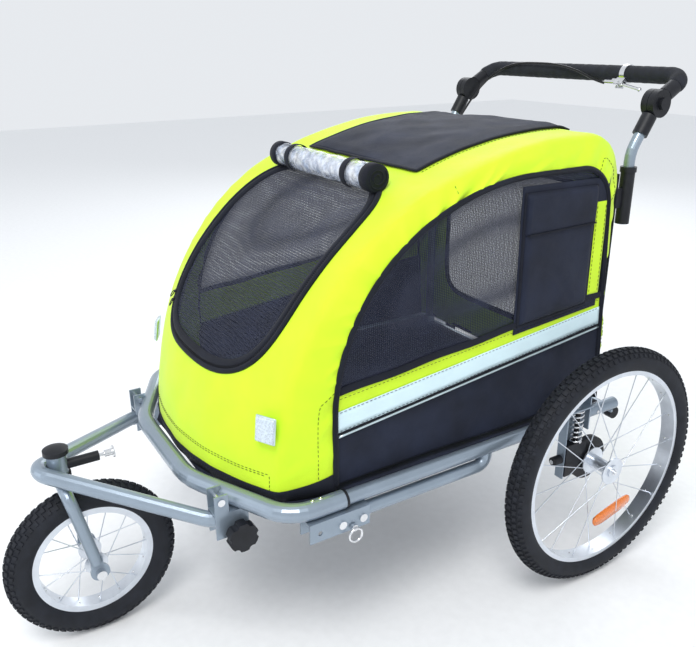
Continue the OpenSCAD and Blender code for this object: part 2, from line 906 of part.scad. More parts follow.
module front_axle() {
    color(bright_steel) {
        x_rod(-66, 66, [front_axle_y, axle_z], 5);
        for (side = [LEFT, RIGHT])
            on_side(side) {
                x_rod(44.6, 49, [front_axle_y, axle_z], 8);
                x_rod(54, 66, [front_axle_y, axle_z], 9);
            }
    }
}

// ---------------------------------------------------------------- wheels

// Ring about the X axis with a section given as [radius, x] shapes
module about_x() {
    rotate([0, 90, 0])
        rotate_extrude($fn = 96)
            children();
}

rim_depth = 12;
rim_t = 2.5;
module rim(flange_r, half_w) {
    about_x()
        polygon([
            [flange_r - rim_depth, -half_w], [flange_r, -half_w],
            [flange_r, -half_w + rim_t], [flange_r - rim_depth + 3, -half_w + rim_t],
            [flange_r - rim_depth + 3, half_w - rim_t], [flange_r, half_w - rim_t],
            [flange_r, half_w], [flange_r - rim_depth, half_w]
        ]);
}

module tyre(r, section_r, flange_r, half_w) {
    centre_r = r - section_r;
    bead = half_w - rim_t - 0.3;
    about_x()
        difference() {
            union() {
                translate([centre_r, 0])
                    circle(r = section_r);
                translate([flange_r - rim_depth + 3.3, -bead])
                    square([rim_depth, 2 * bead]);
            }
            translate([centre_r, 0])
                circle(r = section_r - 4.5);
            translate([flange_r - 2 * rim_depth, -bead + 3.5])
                square([2 * rim_depth + 8, 2 * bead - 7]);
            for (x = [bead, -bead - 30])
                translate([flange_r - 40, x])
                    square([40.4, 30]);
        }
}

// Hub shell with flanges at +-flange_x, and spokes laced to the rim
module laced_hub(flange_x, flange_r, shell_r, half_len, bore_r, rim_r, spokes, sweep) {
    difference() {
        union() {
            x_rod(-half_len, half_len, [0, 0], shell_r);
            for (x = [-flange_x - 1.5, flange_x - 1.5])
                x_rod(x, x + 3, [0, 0], flange_r);
        }
        x_rod(-half_len - 1, half_len + 1, [0, 0], bore_r);
    }
    for (j = [0 : spokes - 1]) {
        side = j % 2 == 0 ? 1 : -1;
        at_rim = 360 / spokes * j;
        at_hub = at_rim + (j % 4 < 2 ? sweep : -sweep);
        rod([side * flange_x, (flange_r - 4) * cos(at_hub), (flange_r - 4) * sin(at_hub)],
            [side * 5, rim_r * cos(at_rim), rim_r * sin(at_rim)], 1);
    }
}

front_flange_r = 109;
front_rim_half = 14.5;
front_section_r = 24;
module at_front_wheel() {
    translate([0, front_axle_y, axle_z])
        children();
}

module front_tyre() {
    color(tyre_black)
        at_front_wheel()
            tyre(front_wheel_r, front_section_r, front_flange_r, front_rim_half);
}

module front_rim() {
    color(bright_steel)
        at_front_wheel()
            rim(front_flange_r, front_rim_half);
}

module front_hub() {
    color(bright_steel)
        at_front_wheel()
            laced_hub(24, 21, 10, 44, 5.06, front_flange_r - rim_depth - 0.1, 16, 50);
}

rear_flange_r = 210;
rear_rim_half = 15.5;
rear_section_r = 23;
module at_rear_wheel(side) {
    on_side(side)
        translate([rear_wheel_x, rear_axle_y, rear_wheel_r])
            children();
}

module rear_tyre(side) {
    color(tyre_black)
        at_rear_wheel(side)
            tyre(rear_wheel_r, rear_section_r, rear_flange_r, rear_rim_half);
}

module rear_rim(side) {
    color(bright_steel)
        at_rear_wheel(side)
            rim(rear_flange_r, rear_rim_half);
}

module rear_hub(side) {
    color(bright_steel)
        at_rear_wheel(side)
            laced_hub(24.5, 28, 13, 29, axle_r + 0.06, rear_flange_r - rim_depth - 0.1, 20, 50);
}

module left_tyre() {
    rear_tyre(LEFT);
}

module right_tyre() {
    rear_tyre(RIGHT);
}

module left_rim() {
    rear_rim(LEFT);
}

module right_rim() {
    rear_rim(RIGHT);
}

module left_hub() {
    rear_hub(LEFT);
}

module right_hub() {
    rear_hub(RIGHT);
}

// ---------------------------------------------------------------- rear suspension

axle_at = [rear_axle_y, rear_wheel_r];
seat_hole_r = 5.6;
module suspension_brackets() {
    front_y = strut_y - strut_half;
    back_y = strut_y + strut_half;
    web_x = bracket_x + bracket_t;
    color(tube_grey)
        for (side = [LEFT, RIGHT])
            on_side(side)
                difference() {
                    union() {
                        box([bracket_x, front_y, 226], [web_x, back_y, 392]);
                        box([web_x, front_y, 226], [354, front_y + 2.8, 388]);
                        box([web_x, back_y - 2.8, 321], [354, back_y, 392]);
                        box([web_x, front_y, spring_seat_z], [360, back_y, spring_seat_z + 3]);
                    }
                    translate([strut_x, strut_y, spring_seat_z - 1])
                        cylinder(h = 5, r = seat_hole_r);
                }
}

module spring(side) {
    color(plastic_black)
        on_side(side)
            translate([strut_x, strut_y, block_top_z + 0.2])
                difference() {
                    cylinder(h = spring_seat_z - block_top_z - 0.4, r = 12.4);
                    translate([0, 0, -1])
                        cylinder(h = spring_seat_z - block_top_z + 2, r = 9.4);
                }
}

// Sliding block with the strut's rod and the round wheel carrier
module slider(side) {
    slide_x = bracket_x + bracket_t + 0.5;
    color(plastic_black)
        on_side(side)
            difference() {
                union() {
                    box([slide_x, strut_y - strut_half + 3.6, 231],
                        [356, strut_y + strut_half - 4, block_top_z]);
                    x_rod(slide_x, 350, axle_at, housing_r);
                    translate([strut_x, strut_y, block_top_z - 2])
                        cylinder(h = 66, r = 5);
                }
                x_rod(slide_x - 1, 360, axle_at, axle_r);
            }
}

module axle(side) {
    color(bright_steel)
        on_side(side)
            difference() {
                union() {
                    x_rod(341, axle_end_x, axle_at, axle_r);
                    x_rod(350, 353.5, axle_at, 10);
                }
                x_rod(axle_end_x - 16, axle_end_x + 1, axle_at, 4.06);
            }
}

module axle_button(side) {
    color(bright_steel)
        on_side(side) {
            x_rod(axle_end_x - 12, axle_end_x + 3.5, axle_at, 4);
        }
}

module left_spring() {
    spring(LEFT);
}

module right_spring() {
    spring(RIGHT);
}

module left_slider() {
    slider(LEFT);
}

module right_slider() {
    slider(RIGHT);
}

module left_axle() {
    axle(LEFT);
}

module right_axle() {
    axle(RIGHT);
}

module left_axle_button() {
    axle_button(LEFT);
}

module right_axle_button() {
    axle_button(RIGHT);
}

// ---------------------------------------------------------------- handle

upright_r = 10.4;
bar_r = 11;
joint_r = 26;
neck_from = joint_r + 0.6;
joint_split = 0.5;
pin_r = 5;

module handle_uprights() {
    top = pivot + upright_dir * 29;
    color(tube_grey)
        for (side = [LEFT, RIGHT])
            on_side(side)
                swept_tube(rounded([[handle_x, upright_bend.y, 722], upright_bend, top], [60]),
                           upright_r, 1.6, [1, 0, 0], 20);
}

module handle_sockets() {
    color(plastic_black)
        for (side = [LEFT, RIGHT])
            on_side(side)
                difference() {
                    union() {
                        rod([handle_x, upright_bend.y, 706], [handle_x, upright_bend.y, 816], 13.5);
                        rod([handle_x, upright_bend.y, 806], [handle_x, upright_bend.y, 816], 15.5);
                        box([handle_x - 7, rear_y + 0.5, 738], [handle_x + 3, upright_bend.y, 776]);
                    }
                    rod([handle_x, upright_bend.y, 721], [handle_x, upright_bend.y, 817],
                        upright_r);
                }
}

// Half of a handle joint: a disc on the pivot with a socket for a tube
module joint_half(x1, x2, dir, neck_r, neck_end, tube_r) {
    mid = [(x1 + x2) / 2, pivot.y, pivot.z];
    difference() {
        union() {
            x_rod(x1, x2, [pivot.y, pivot.z], joint_r);
            rod(mid, mid + dir * (neck_from + 10), (x2 - x1) / 2);
            rod(pivot + dir * neck_from, pivot + dir * neck_end, neck_r);
        }
        rod(pivot + dir * 29, pivot + dir * (neck_end + 1), tube_r);
    }
}

module handle_joint_bases() {
    color(plastic_black)
        for (side = [LEFT, RIGHT])
            on_side(side) {
                joint_half(handle_x - 14, handle_x - joint_split, upright_dir, 14.5, 66,
                           upright_r);
                x_rod(handle_x - 1, handle_x + 7.8, [pivot.y, pivot.z], pin_r);
            }
}

module handle_joint_heads() {
    color(plastic_black)
        for (side = [LEFT, RIGHT])
            on_side(side)
                difference() {
                    joint_half(handle_x + joint_split, handle_x + 14, bar_dir, 15, 56, bar_r);
                    x_rod(handle_x, handle_x + 20, [pivot.y, pivot.z], pin_r + 0.06);
                    x_rod(handle_x + 8, handle_x + 20, [pivot.y, pivot.z], 11.4);
                }
}

module release_button(side) {
    color(plastic_black)
        on_side(side) {
            x_rod(handle_x + 12.4, handle_x + 21, [pivot.y, pivot.z], 11);
        }
}

module left_release_button() {
    release_button(LEFT);
}

module right_release_button() {
    release_button(RIGHT);
}

function bar_path(from) =
    let (start = pivot + bar_dir * from)
        [[-start.x, start.y, start.z], [-bar_corner.x, bar_corner.y, bar_corner.z],
         bar_corner, start];
bar_bend = 38;
bar_ref = [0, -bar_dir.z, bar_dir.y];

module handle_bar() {
    color(tube_grey)
        swept_tube(rounded(bar_path(29), [bar_bend, bar_bend]), bar_r, 1.6, bar_ref, 16);
}

module foam_grip() {
    color(plastic_black)
        swept_tube(rounded(bar_path(57), [33, 33]), grip_r, grip_r - bar_r - 0.1, bar_ref, 16);
}

// Frame of the brake lever: on the bar, with -Z away from the bar to the front and down
module at_lever() {
    translate([lever_x, bar_corner.y, bar_corner.z])
        rotate([lever_lean, 0, 0])
            children();
}

lever_drop = 28;
module brake_clamp() {
    color(bright_steel)
        at_lever() {
            difference() {
                union() {
                    x_rod(-6, 6, [0, 0], grip_r + 2.2);
                    box([-10, -7, -24], [10, 7, -17.4]);
                    box([-10, -7, -34], [10, -4, -17.4]);
                    box([-10, 4, -34], [10, 7, -17.4]);
                    box([-22, -5, -24], [-10, 5, -19]);
                    x_rod(-40, -10.5, [0, -lever_drop + 4], 4.5);
                }
                x_rod(-50, 12, [0, 0], grip_r + 0.1);
                box([-11, -3.9, -36], [11, 3.9, -20.8]);
            }
            rod([0, -9, -lever_drop], [0, 9, -lever_drop], 2);
        }
}

module brake_lever() {
    color(bright_steel)
        at_lever()
            difference() {
                union() {
                    rod([0, -3.6, -lever_drop], [0, 3.6, -lever_drop], 6);
                    rod([0, 0, -lever_drop], [58, 0, -41], 3.4);
                    translate([58, 0, -41])
                        sphere(r = 4.4);
                }
                rod([0, -6, -lever_drop], [0, 6, -lever_drop], 2.06);
            }
}

module brake_cable_upper() {
    color(plastic_black)
        swept_rod(smooth_route(cable_upper_route, 3), cable_r, cable_ref, 8);
}

module brake_cable_lower() {
    color(plastic_black)
        swept_rod(smooth_route(cable_lower_route, 3), cable_r, cable_ref, 8);
}

// ---------------------------------------------------------------- assembly
front_frame_tube();
side_rails();
cross_tubes();
frame_end_caps();
floor_panel();
cabin_hoops();
cover_front();
cover_roof();
cover_sides();
cover_rear();
lower_panels();
front_window();
side_windows();
rear_window();
roof_panel();
rolled_rain_cover();
side_pocket();
front_reflectors();
hitch_bracket();
receiver_tube();
frame_bolts();
arm_brackets();
stroller_arm();
head_fittings();
handle_sockets();
handle_uprights();
handle_joint_bases();
suspension_brackets();
fork();
front_axle();
front_tyre();
front_rim();
front_hub();
lock_pin();
left_arm_knob();
right_arm_knob();
hitch_pin();
handle_bar();
handle_joint_heads();
foam_grip();
brake_clamp();
brake_lever();
brake_cable_upper();
brake_cable_lower();
left_release_button();
right_release_button();
left_tyre();
left_rim();
left_hub();
left_spring();
left_slider();
left_axle();
left_axle_button();
right_tyre();
right_rim();
right_hub();
right_spring();
right_slider();
right_axle();
right_axle_button();
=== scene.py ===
"""Bicycle trailer set up as a stroller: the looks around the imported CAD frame.

Metres. +X is the trailer's left side, -Y its front and +Z is up, as in the CAD.
"""
import json
import math

import bmesh
import bpy
import numpy as np
from mathutils import Matrix, Vector, noise

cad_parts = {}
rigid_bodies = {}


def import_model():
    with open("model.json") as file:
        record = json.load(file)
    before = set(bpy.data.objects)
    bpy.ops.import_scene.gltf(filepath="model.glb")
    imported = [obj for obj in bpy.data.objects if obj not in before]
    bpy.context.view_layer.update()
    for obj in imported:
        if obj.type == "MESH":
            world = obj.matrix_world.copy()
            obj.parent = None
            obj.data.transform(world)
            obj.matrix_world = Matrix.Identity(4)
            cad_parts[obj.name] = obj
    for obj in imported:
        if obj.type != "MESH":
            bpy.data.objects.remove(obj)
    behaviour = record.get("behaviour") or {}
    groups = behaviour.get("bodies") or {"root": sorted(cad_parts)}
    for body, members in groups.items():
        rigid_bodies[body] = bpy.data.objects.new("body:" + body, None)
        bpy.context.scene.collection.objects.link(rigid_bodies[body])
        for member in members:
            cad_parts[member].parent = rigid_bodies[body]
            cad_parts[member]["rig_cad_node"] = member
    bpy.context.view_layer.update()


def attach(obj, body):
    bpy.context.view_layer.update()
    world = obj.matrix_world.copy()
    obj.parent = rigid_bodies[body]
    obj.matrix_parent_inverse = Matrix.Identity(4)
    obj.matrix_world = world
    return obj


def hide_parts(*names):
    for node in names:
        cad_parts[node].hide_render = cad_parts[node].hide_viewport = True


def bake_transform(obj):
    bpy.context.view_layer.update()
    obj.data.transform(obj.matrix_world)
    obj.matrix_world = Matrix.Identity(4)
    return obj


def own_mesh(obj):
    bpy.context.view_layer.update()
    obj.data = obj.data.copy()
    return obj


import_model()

MM = 0.001
SIDES = (("left", 1), ("right", -1))

# ------------------------------------------------------------------ camera, light and floor

EYE = Vector((1.2241, -0.7009, 1.0511))
AZIMUTH = math.radians(58.49)
ELEVATION = math.radians(20.95)
ROLL = math.radians(-0.349)


def make_camera():
    back = Vector((math.sin(AZIMUTH) * math.cos(ELEVATION),
                   -math.cos(AZIMUTH) * math.cos(ELEVATION), math.sin(ELEVATION)))
    level = Vector((math.cos(AZIMUTH), math.sin(AZIMUTH), 0))
    plumb = back.cross(level)
    right = level * math.cos(ROLL) + plumb * math.sin(ROLL)
    up = plumb * math.cos(ROLL) - level * math.sin(ROLL)
    data = bpy.data.cameras.new("camera")
    data.lens = 38.74
    data.sensor_width = 36
    data.clip_end = 60
    camera = bpy.data.objects.new("camera", data)
    place = Matrix((right, up, back)).transposed().to_4x4()
    place.translation = EYE
    camera.matrix_world = place
    bpy.context.scene.collection.objects.link(camera)
    bpy.context.scene.camera = camera


def area_light(name, at, target, size, power, colour=(1, 1, 1)):
    data = bpy.data.lights.new(name, "AREA")
    data.size = size
    data.energy = power
    data.color = colour
    light = bpy.data.objects.new(name, data)
    light.location = at
    light.rotation_euler = (Vector(target) - Vector(at)).to_track_quat("-Z", "Y").to_euler()
    bpy.context.scene.collection.objects.link(light)


def make_lights():
    area_light("key", (1.6, -1.4, 3.4), (0, 0, 0.5), 1.6, 78, (1, 0.99, 0.97))
    area_light("front_fill", (-0.6, -3.4, 1.8), (0, 0, 0.5), 2.4, 18, (0.92, 0.96, 1))
    area_light("back_fill", (-2.6, 2.4, 2.6), (0, 0, 0.5), 2.4, 40, (0.95, 0.97, 1))
    world = bpy.data.worlds.new("studio")
    world.use_nodes = True
    sky = world.node_tree.nodes["Background"]
    sky.inputs["Color"].default_value = (0.93, 0.96, 1, 1)
    sky.inputs["Strength"].default_value = 0.86
    bpy.context.scene.world = world
    bpy.context.scene.view_settings.view_transform = "Standard"
    bpy.context.scene.view_settings.look = "None"


# ------------------------------------------------------------------ materials

class Look:
    """A Principled material whose bump, colour and roughness layers are added one by one."""

    def __init__(self, name, colour, roughness, metallic=0.0):
        self.material = bpy.data.materials.new(name)
        self.material.use_nodes = True
        self.tree = self.material.node_tree
        self.tree.nodes.clear()
        self.shader = self.node("BsdfPrincipled")
        out = self.node("OutputMaterial")
        self.link(self.shader.outputs[0], out.inputs[0])
        self.colour = colour
        self.set("Base Color", (*colour, 1))
        self.set("Roughness", roughness)
        self.set("Metallic", metallic)
        self.place = self.node("TexCoord").outputs["Object"]
        self.height = None

    def node(self, kind, **values):
        made = self.tree.nodes.new("ShaderNode" + kind)
        for key, value in values.items():
            setattr(made, key, value)
        return made

    def link(self, a, b):
        self.tree.links.new(a, b)

    def set(self, socket, value):
        self.shader.inputs[socket].default_value = value
        return self

    def stretched(self, scale):
        mapping = self.node("Mapping")
        mapping.inputs["Scale"].default_value = scale
        self.link(self.place, mapping.inputs["Vector"])
        return mapping.outputs[0]

    def noise_value(self, size, detail=3.0, stretch=(1, 1, 1)):
        """Noise with features about size metres across, stretched along each axis."""
        made = self.node("TexNoise")
        made.inputs["Scale"].default_value = 1 / size
        made.inputs["Detail"].default_value = detail
        self.link(self.stretched(stretch), made.inputs["Vector"])
        return made.outputs["Fac"]

    def bands(self, pitch, direction):
        made = self.node("TexWave", bands_direction=direction)
        made.inputs["Scale"].default_value = 1 / pitch / 3.18
        made.inputs["Distortion"].default_value = 0.4
        self.link(self.place, made.inputs["Vector"])
        return made.outputs["Fac"]

    def math(self, operation, a, b):
        made = self.node("Math", operation=operation)
        for socket, value in zip(made.inputs, (a, b)):
            if isinstance(value, (int, float)):
                socket.default_value = value
            else:
                self.link(value, socket)
        return made.outputs[0]

    def bump(self, value, depth, strength=1.0):
        """Stacks a bump of this depth in metres."""
        made = self.node("Bump")
        made.inputs["Distance"].default_value = depth
        made.inputs["Strength"].default_value = strength
        self.link(value, made.inputs["Height"])
        if self.height is not None:
            self.link(self.height, made.inputs["Normal"])
        self.height = made.outputs[0]
        self.link(self.height, self.shader.inputs["Normal"])
        return self

    def ramp(self, value, low, high, low_at=0.3, high_at=0.7):
        made = self.node("ValToRGB")
        made.color_ramp.elements[0].position = low_at
        made.color_ramp.elements[0].color = (*low, 1)
        made.color_ramp.elements[1].position = high_at
        made.color_ramp.elements[1].color = (*high, 1)
        self.link(value, made.inputs[0])
        return made.outputs[0]

    def tint(self, value, low, high, low_at=0.3, high_at=0.7):
        self.link(self.ramp(value, low, high, low_at, high_at), self.shader.inputs["Base Color"])
        return self

    def rough(self, value, low, high):
        made = self.node("MapRange")
        made.inputs["To Min"].default_value = low
        made.inputs["To Max"].default_value = high
        self.link(value, made.inputs["Value"])
        self.link(made.outputs[0], self.shader.inputs["Roughness"])
        return self


def shade(colour, by):
    return tuple(min(1, c * by) for c in colour)


def woven(name, colour, roughness, pitch, depth, sheen=0.0, uneven=0.12):
    """Coated plain weave: threads both ways, slight mottling and small creases."""
    look = Look(name, colour, roughness)
    threads = look.math("MAXIMUM", look.bands(pitch, "X"), look.bands(pitch, "Z"))
    threads = look.math("MULTIPLY", threads, look.bands(pitch, "Y"))
    look.tint(look.noise_value(0.07, 4), shade(colour, 1 - uneven), shade(colour, 1 + uneven))
    look.rough(look.noise_value(0.03, 4), roughness - 0.08, roughness + 0.08)
    look.bump(threads, depth).bump(look.noise_value(0.012, 4), 0.0004)
    look.set("Sheen Weight", sheen).set("Specular IOR Level", 0.25)
    return look.material


def painted(name, colour, roughness):
    """Powder coat: fine orange peel, clear gloss and slight dust."""
    look = Look(name, colour, roughness, 0.55)
    look.tint(look.noise_value(0.05, 5), shade(colour, 0.93), shade(colour, 1.05))
    look.rough(look.noise_value(0.02, 5), roughness - 0.06, roughness + 0.1)
    look.bump(look.noise_value(0.0018, 2), 0.00006)
    look.set("Coat Weight", 0.45).set("Coat Roughness", 0.12)
    return look.material


def metal(name, colour, roughness, stretch=(1, 1, 1), grain=0.002):
    look = Look(name, colour, roughness, 1.0)
    look.tint(look.noise_value(0.03, 4), shade(colour, 0.9), shade(colour, 1.04))
    look.rough(look.noise_value(grain, 4, stretch), roughness - 0.08, roughness + 0.1)
    look.bump(look.noise_value(grain, 3, stretch), 0.00004)
    return look.material


def moulded(name, colour, roughness, grain=0.0012, depth=0.00012):
    look = Look(name, colour, roughness)
    spread = 0.02 if max(colour) > 0.5 else 0.3
    look.tint(look.noise_value(0.02, 4), shade(colour, 1 - spread), shade(colour, 1 + spread))
    look.rough(look.noise_value(0.01, 4), roughness - 0.07, roughness + 0.1)
    look.bump(look.noise_value(grain, 2), depth)
    look.set("Specular IOR Level", 0.3)
    return look.material


def netting(name, colour, cover, pitch):
    """Open knitted mesh: threads on a see-through ground."""
    look = Look(name, colour, 0.75)
    rows = look.math("MAXIMUM", look.bands(pitch, "Z"), look.bands(pitch * 1.3, "X"))
    rows = look.math("MAXIMUM", rows, look.bands(pitch * 1.3, "Y"))
    open_part = look.math("MULTIPLY", look.math("SUBTRACT", 1.0, rows), 1.5)
    alpha = look.math("SUBTRACT", cover + 0.2, look.math("MULTIPLY", open_part, 0.45))
    look.link(look.math("MINIMUM", alpha, 1.0), look.shader.inputs["Alpha"])
    look.tint(look.noise_value(0.05, 3), shade(colour, 0.85), shade(colour, 1.25))
    look.bump(rows, 0.0004)
    return look.material


def lens(name, colour, pitch):
    """Moulded reflector: clear skin over a grid of small prisms."""
    look = Look(name, colour, 0.12)
    cells = look.node("TexVoronoi", distance="CHEBYCHEV")
    cells.inputs["Scale"].default_value = 1 / pitch
    look.link(look.place, cells.inputs["Vector"])
    grid = cells.outputs["Distance"]
    # The colour over the prism cells is painted light: each prism is painted lighter towards its
    # edge and darker at its middle, as painted highlights and shade on the facets.
    look.tint(grid, shade(colour, 0.78), shade(colour, 1.15), 0.1, 0.55)
    look.bump(grid, 0.0002)
    look.set("Coat Weight", 1.0).set("Coat Roughness", 0.04)
    return look.material


def clear_film(name):
    look = Look(name, (0.78, 0.85, 0.97), 0.08)
    look.tint(look.noise_value(0.02, 3), (0.45, 0.55, 0.75), (0.97, 0.98, 1))
    folds = look.noise_value(0.012, 5)
    look.link(look.ramp(folds, (0.25,) * 3, (0.8,) * 3, 0.35, 0.65), look.shader.inputs["Alpha"])
    look.bump(folds, 0.004)
    look.set("Coat Weight", 0.6).set("Coat Roughness", 0.05)
    return look.material


def foam_skin(name, colour):
    look = Look(name, colour, 0.8)
    cells = look.node("TexVoronoi")
    cells.inputs["Scale"].default_value = 900
    look.link(look.place, cells.inputs["Vector"])
    look.tint(look.noise_value(0.015, 4), shade(colour, 0.7), shade(colour, 1.5))
    look.bump(cells.outputs["Distance"], 0.0003)
    return look.material


YELLOW = (0.60, 0.87, 0.022)
NAVY_BLACK = (0.010, 0.014, 0.030)
LOOKS = {
    "yellow": woven("yellow_cloth", YELLOW, 0.62, 0.0011, 0.00012, 0.15, 0.05),
    "black": woven("black_cloth", NAVY_BLACK, 0.7, 0.0011, 0.00015, 0.04, 0.35),
    "binding": woven("black_binding", (0.006, 0.008, 0.016), 0.75, 0.0016, 0.0003, 0.04, 0.3),
    "net": netting("window_net", (0.010, 0.014, 0.034), 0.66, 0.0030),
    "tape": woven("reflective_tape", (0.66, 0.84, 0.90), 0.32, 0.0022, 0.00015, 0.0, 0.05),
    "silver_piping": metal("silver_piping", (0.62, 0.74, 0.78), 0.35),
    "paint": painted("frame_paint", (0.27, 0.33, 0.40), 0.3),
    "steel": metal("bright_steel", (0.78, 0.79, 0.81), 0.22),
    "alloy": metal("rim_alloy", (0.70, 0.74, 0.80), 0.3, (1, 1, 1), 0.0012),
    "plastic": moulded("black_plastic", (0.010, 0.011, 0.015), 0.42),
    "rubber": moulded("tyre_rubber", (0.012, 0.014, 0.020), 0.68, 0.003, 0.0003),
    "foam": foam_skin("foam_skin", (0.006, 0.008, 0.014)),
    "cable": moulded("cable_sleeve", (0.006, 0.006, 0.008), 0.3),
    "clear_lens": lens("clear_lens", (0.50, 0.58, 0.66), 0.0032),
    "orange_lens": lens("orange_lens", (0.72, 0.17, 0.006), 0.0028),
    "film": clear_film("clear_film"),
    "thread": moulded("black_thread", (0.01, 0.01, 0.014), 0.7),
    "floor": moulded("pale_floor", (0.88, 0.89, 0.90), 0.85, 0.3, 0.0),
}
LOOK_OF_SLOT = {
    "frame_paint": "paint", "bright_metal": "steel", "alloy": "alloy",
    "black_plastic": "plastic", "tyre_rubber": "rubber", "foam": "foam",
    "yellow_fabric": "yellow", "black_fabric": "black", "mesh_fabric": "net",
    "clear_film": "film", "cable_black": "cable", "reflector_clear": "clear_lens",
    "reflector_orange": "orange_lens", "reflective_tape": "tape",
}

# ------------------------------------------------------------------ mesh helpers


def dress(piece, body, look):
    """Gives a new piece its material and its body."""
    piece.data.materials.append(LOOKS[look])
    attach(piece, body)
    return piece


def add_piece(name, points, faces, look, body):
    mesh = bpy.data.meshes.new(name)
    mesh.from_pydata([tuple(p) for p in points], [], faces)
    mesh.validate()
    shaped = bmesh.new()
    shaped.from_mesh(mesh)
    bmesh.ops.recalc_face_normals(shaped, faces=shaped.faces)
    shaped.to_mesh(mesh)
    shaped.free()
    mesh.polygons.foreach_set("use_smooth", [True] * len(mesh.polygons))
    piece = bpy.data.objects.new(name, mesh)
    bpy.context.scene.collection.objects.link(piece)
    return dress(piece, body, look)


class Shape:
    """Points and faces gathered from several simple solids, to make one piece."""

    def __init__(self):
        self.points = []
        self.faces = []

    def add(self, points, faces):
        first = len(self.points)
        self.points.extend(tuple(p) for p in points)
        self.faces.extend([first + i for i in face] for face in faces)
        return self

    def grid(self, grid, keep=None):
        rows, cols = grid.shape[:2]
        faces = [(i * cols + j, i * cols + j + 1, (i + 1) * cols + j + 1, (i + 1) * cols + j)
                 for i in range(rows - 1) for j in range(cols - 1)
                 if keep is None or keep[i, j]]
        return self.add(grid.reshape(-1, 3), faces)

    def sweep(self, rings, closed=False):
        """Rings of points joined in order, with flat ends unless the path is closed."""
        rings = np.array(rings)
        n, sides = rings.shape[:2]
        steps = n if closed else n - 1
        faces = [(i * sides + k, i * sides + (k + 1) % sides,
                  (i + 1) % n * sides + (k + 1) % sides, (i + 1) % n * sides + k)
                 for i in range(steps) for k in range(sides)]
        if not closed:
            faces += [list(range(sides)), [(n - 1) * sides + k for k in range(sides)]]
        return self.add(rings.reshape(-1, 3), faces)

    def piece(self, name, look, body="chassis"):
        return add_piece(name, self.points, self.faces, look, body)


def unit(v):
    v = np.asarray(v, float)
    return v / np.maximum(np.linalg.norm(v, axis=-1, keepdims=True), 1e-12)


def directions(path, closed=False):
    path = np.asarray(path, float)
    if closed:
        return unit(np.roll(path, -1, 0) - np.roll(path, 1, 0))
    return unit(np.gradient(path, axis=0))


def tube_rings(path, width, height, normal, sides=10, closed=False):
    """Oval rings round a path: width across it and height along its normal."""
    path = np.asarray(path, float)
    d = directions(path, closed)
    normal = np.broadcast_to(np.asarray(normal, float), path.shape)
    across = unit(np.cross(d, normal))
    up = unit(np.cross(across, d))
    turn = np.arange(sides) * 2 * math.pi / sides
    width = np.broadcast_to(width, len(path))[:, None, None]
    height = np.broadcast_to(height, len(path))[:, None, None]
    return (path[:, None, :] + width * np.cos(turn)[None, :, None] * across[:, None, :]
            + height * np.sin(turn)[None, :, None] * up[:, None, :])


def resample(path, step, closed=False):
    """The same path with points step metres apart."""
    path = np.asarray(path, float)
    if closed:
        path = np.vstack([path, path[:1]])
    run = np.concatenate([[0], np.cumsum(np.linalg.norm(np.diff(path, axis=0), axis=1))])
    count = max(2, int(round(run[-1] / step)) + 1)
    at = np.linspace(0, run[-1], count)
    made = np.stack([np.interp(at, run, path[:, k]) for k in range(3)], axis=1)
    return made[:-1] if closed else made


def rounded_box(low, high, r, steps):
    """Box with rounded edges, as points and faces."""
    shaped = bmesh.new()
    bmesh.ops.create_cube(shaped, size=1)
    low, high = np.asarray(low, float), np.asarray(high, float)
    for v in shaped.verts:
        v.co = Vector(low + (high - low) * (np.array(v.co) + 0.5))
    bmesh.ops.bevel(shaped, geom=shaped.edges[:], offset=r, segments=steps, profile=0.5,
                    affect="EDGES")
    points = [tuple(v.co) for v in shaped.verts]
    faces = [[v.index for v in f.verts] for f in shaped.faces]
    shaped.free()
    return np.array(points), faces


def thicken(piece, thickness, offset=-1.0):
    solid = piece.modifiers.new("thickness", "SOLIDIFY")
    solid.thickness = thickness
    solid.offset = offset
    return piece


def wave(p, seed=0.0):
    """Smooth noise from about -1 to 1 at a point."""
    return noise.noise(Vector((float(p[0]) + seed, float(p[1]) + 3.1 * seed, 0.7 * seed)))


# ------------------------------------------------------------------ shape of the cabin
# Outlines in the YZ plane, in metres, as in the CAD.

HEM_Z = 0.352
HALF_W = 0.278
SIDE_X = 0.300
REAR_Y = 0.4777
REAR_Z = 0.806
NOSE_BULGE = 0.080
BULGE_TOP_Z = 0.800
SHOULDER = 0.100          # width of a shoulder in cloth coordinates
PANEL_TOP = 0.600         # where the front panel ends, along the outline


def arc(centre, r, start, stop, n):
    a = np.radians(np.linspace(start, stop, n))
    return np.stack([centre[0] - r * np.sin(a), centre[1] + r * np.cos(a)], 1)


def line(a, b, n):
    return np.linspace(a, b, n)


def joined(parts):
    return np.vstack([parts[0]] + [p[1:] for p in parts[1:]])


# Steps of cloth along each stretch of the outline: hem, front arc, roof arc, flat, corner, rear
STEPS = (6, 84, 54, 5, 20, 64)


def hoop_outline():
    c1, r1 = np.array([0.216, 0.383]), 0.470
    c2, r2 = c1 + (r1 - 0.868) * np.array([-math.sin(math.radians(23.5)),
                                           math.cos(math.radians(23.5))]), 0.868
    c3 = c2 + [0.023, r2 - 0.080]
    flat = c2 + [0, r2]
    return joined([
        line((-0.254, HEM_Z), (-0.254, 0.383), STEPS[0] + 1),
        arc(c1, r1, 90, 23.5, STEPS[1] + 1),
        arc(c2, r2, 23.5, 0, STEPS[2] + 1),
        line(flat, flat + [0.023, 0], STEPS[3] + 1),
        arc(c3, 0.080, 0, -90, STEPS[4] + 1),
        line(c3 + [0.080, 0], (c3[0] + 0.080, HEM_Z), STEPS[5] + 1)])


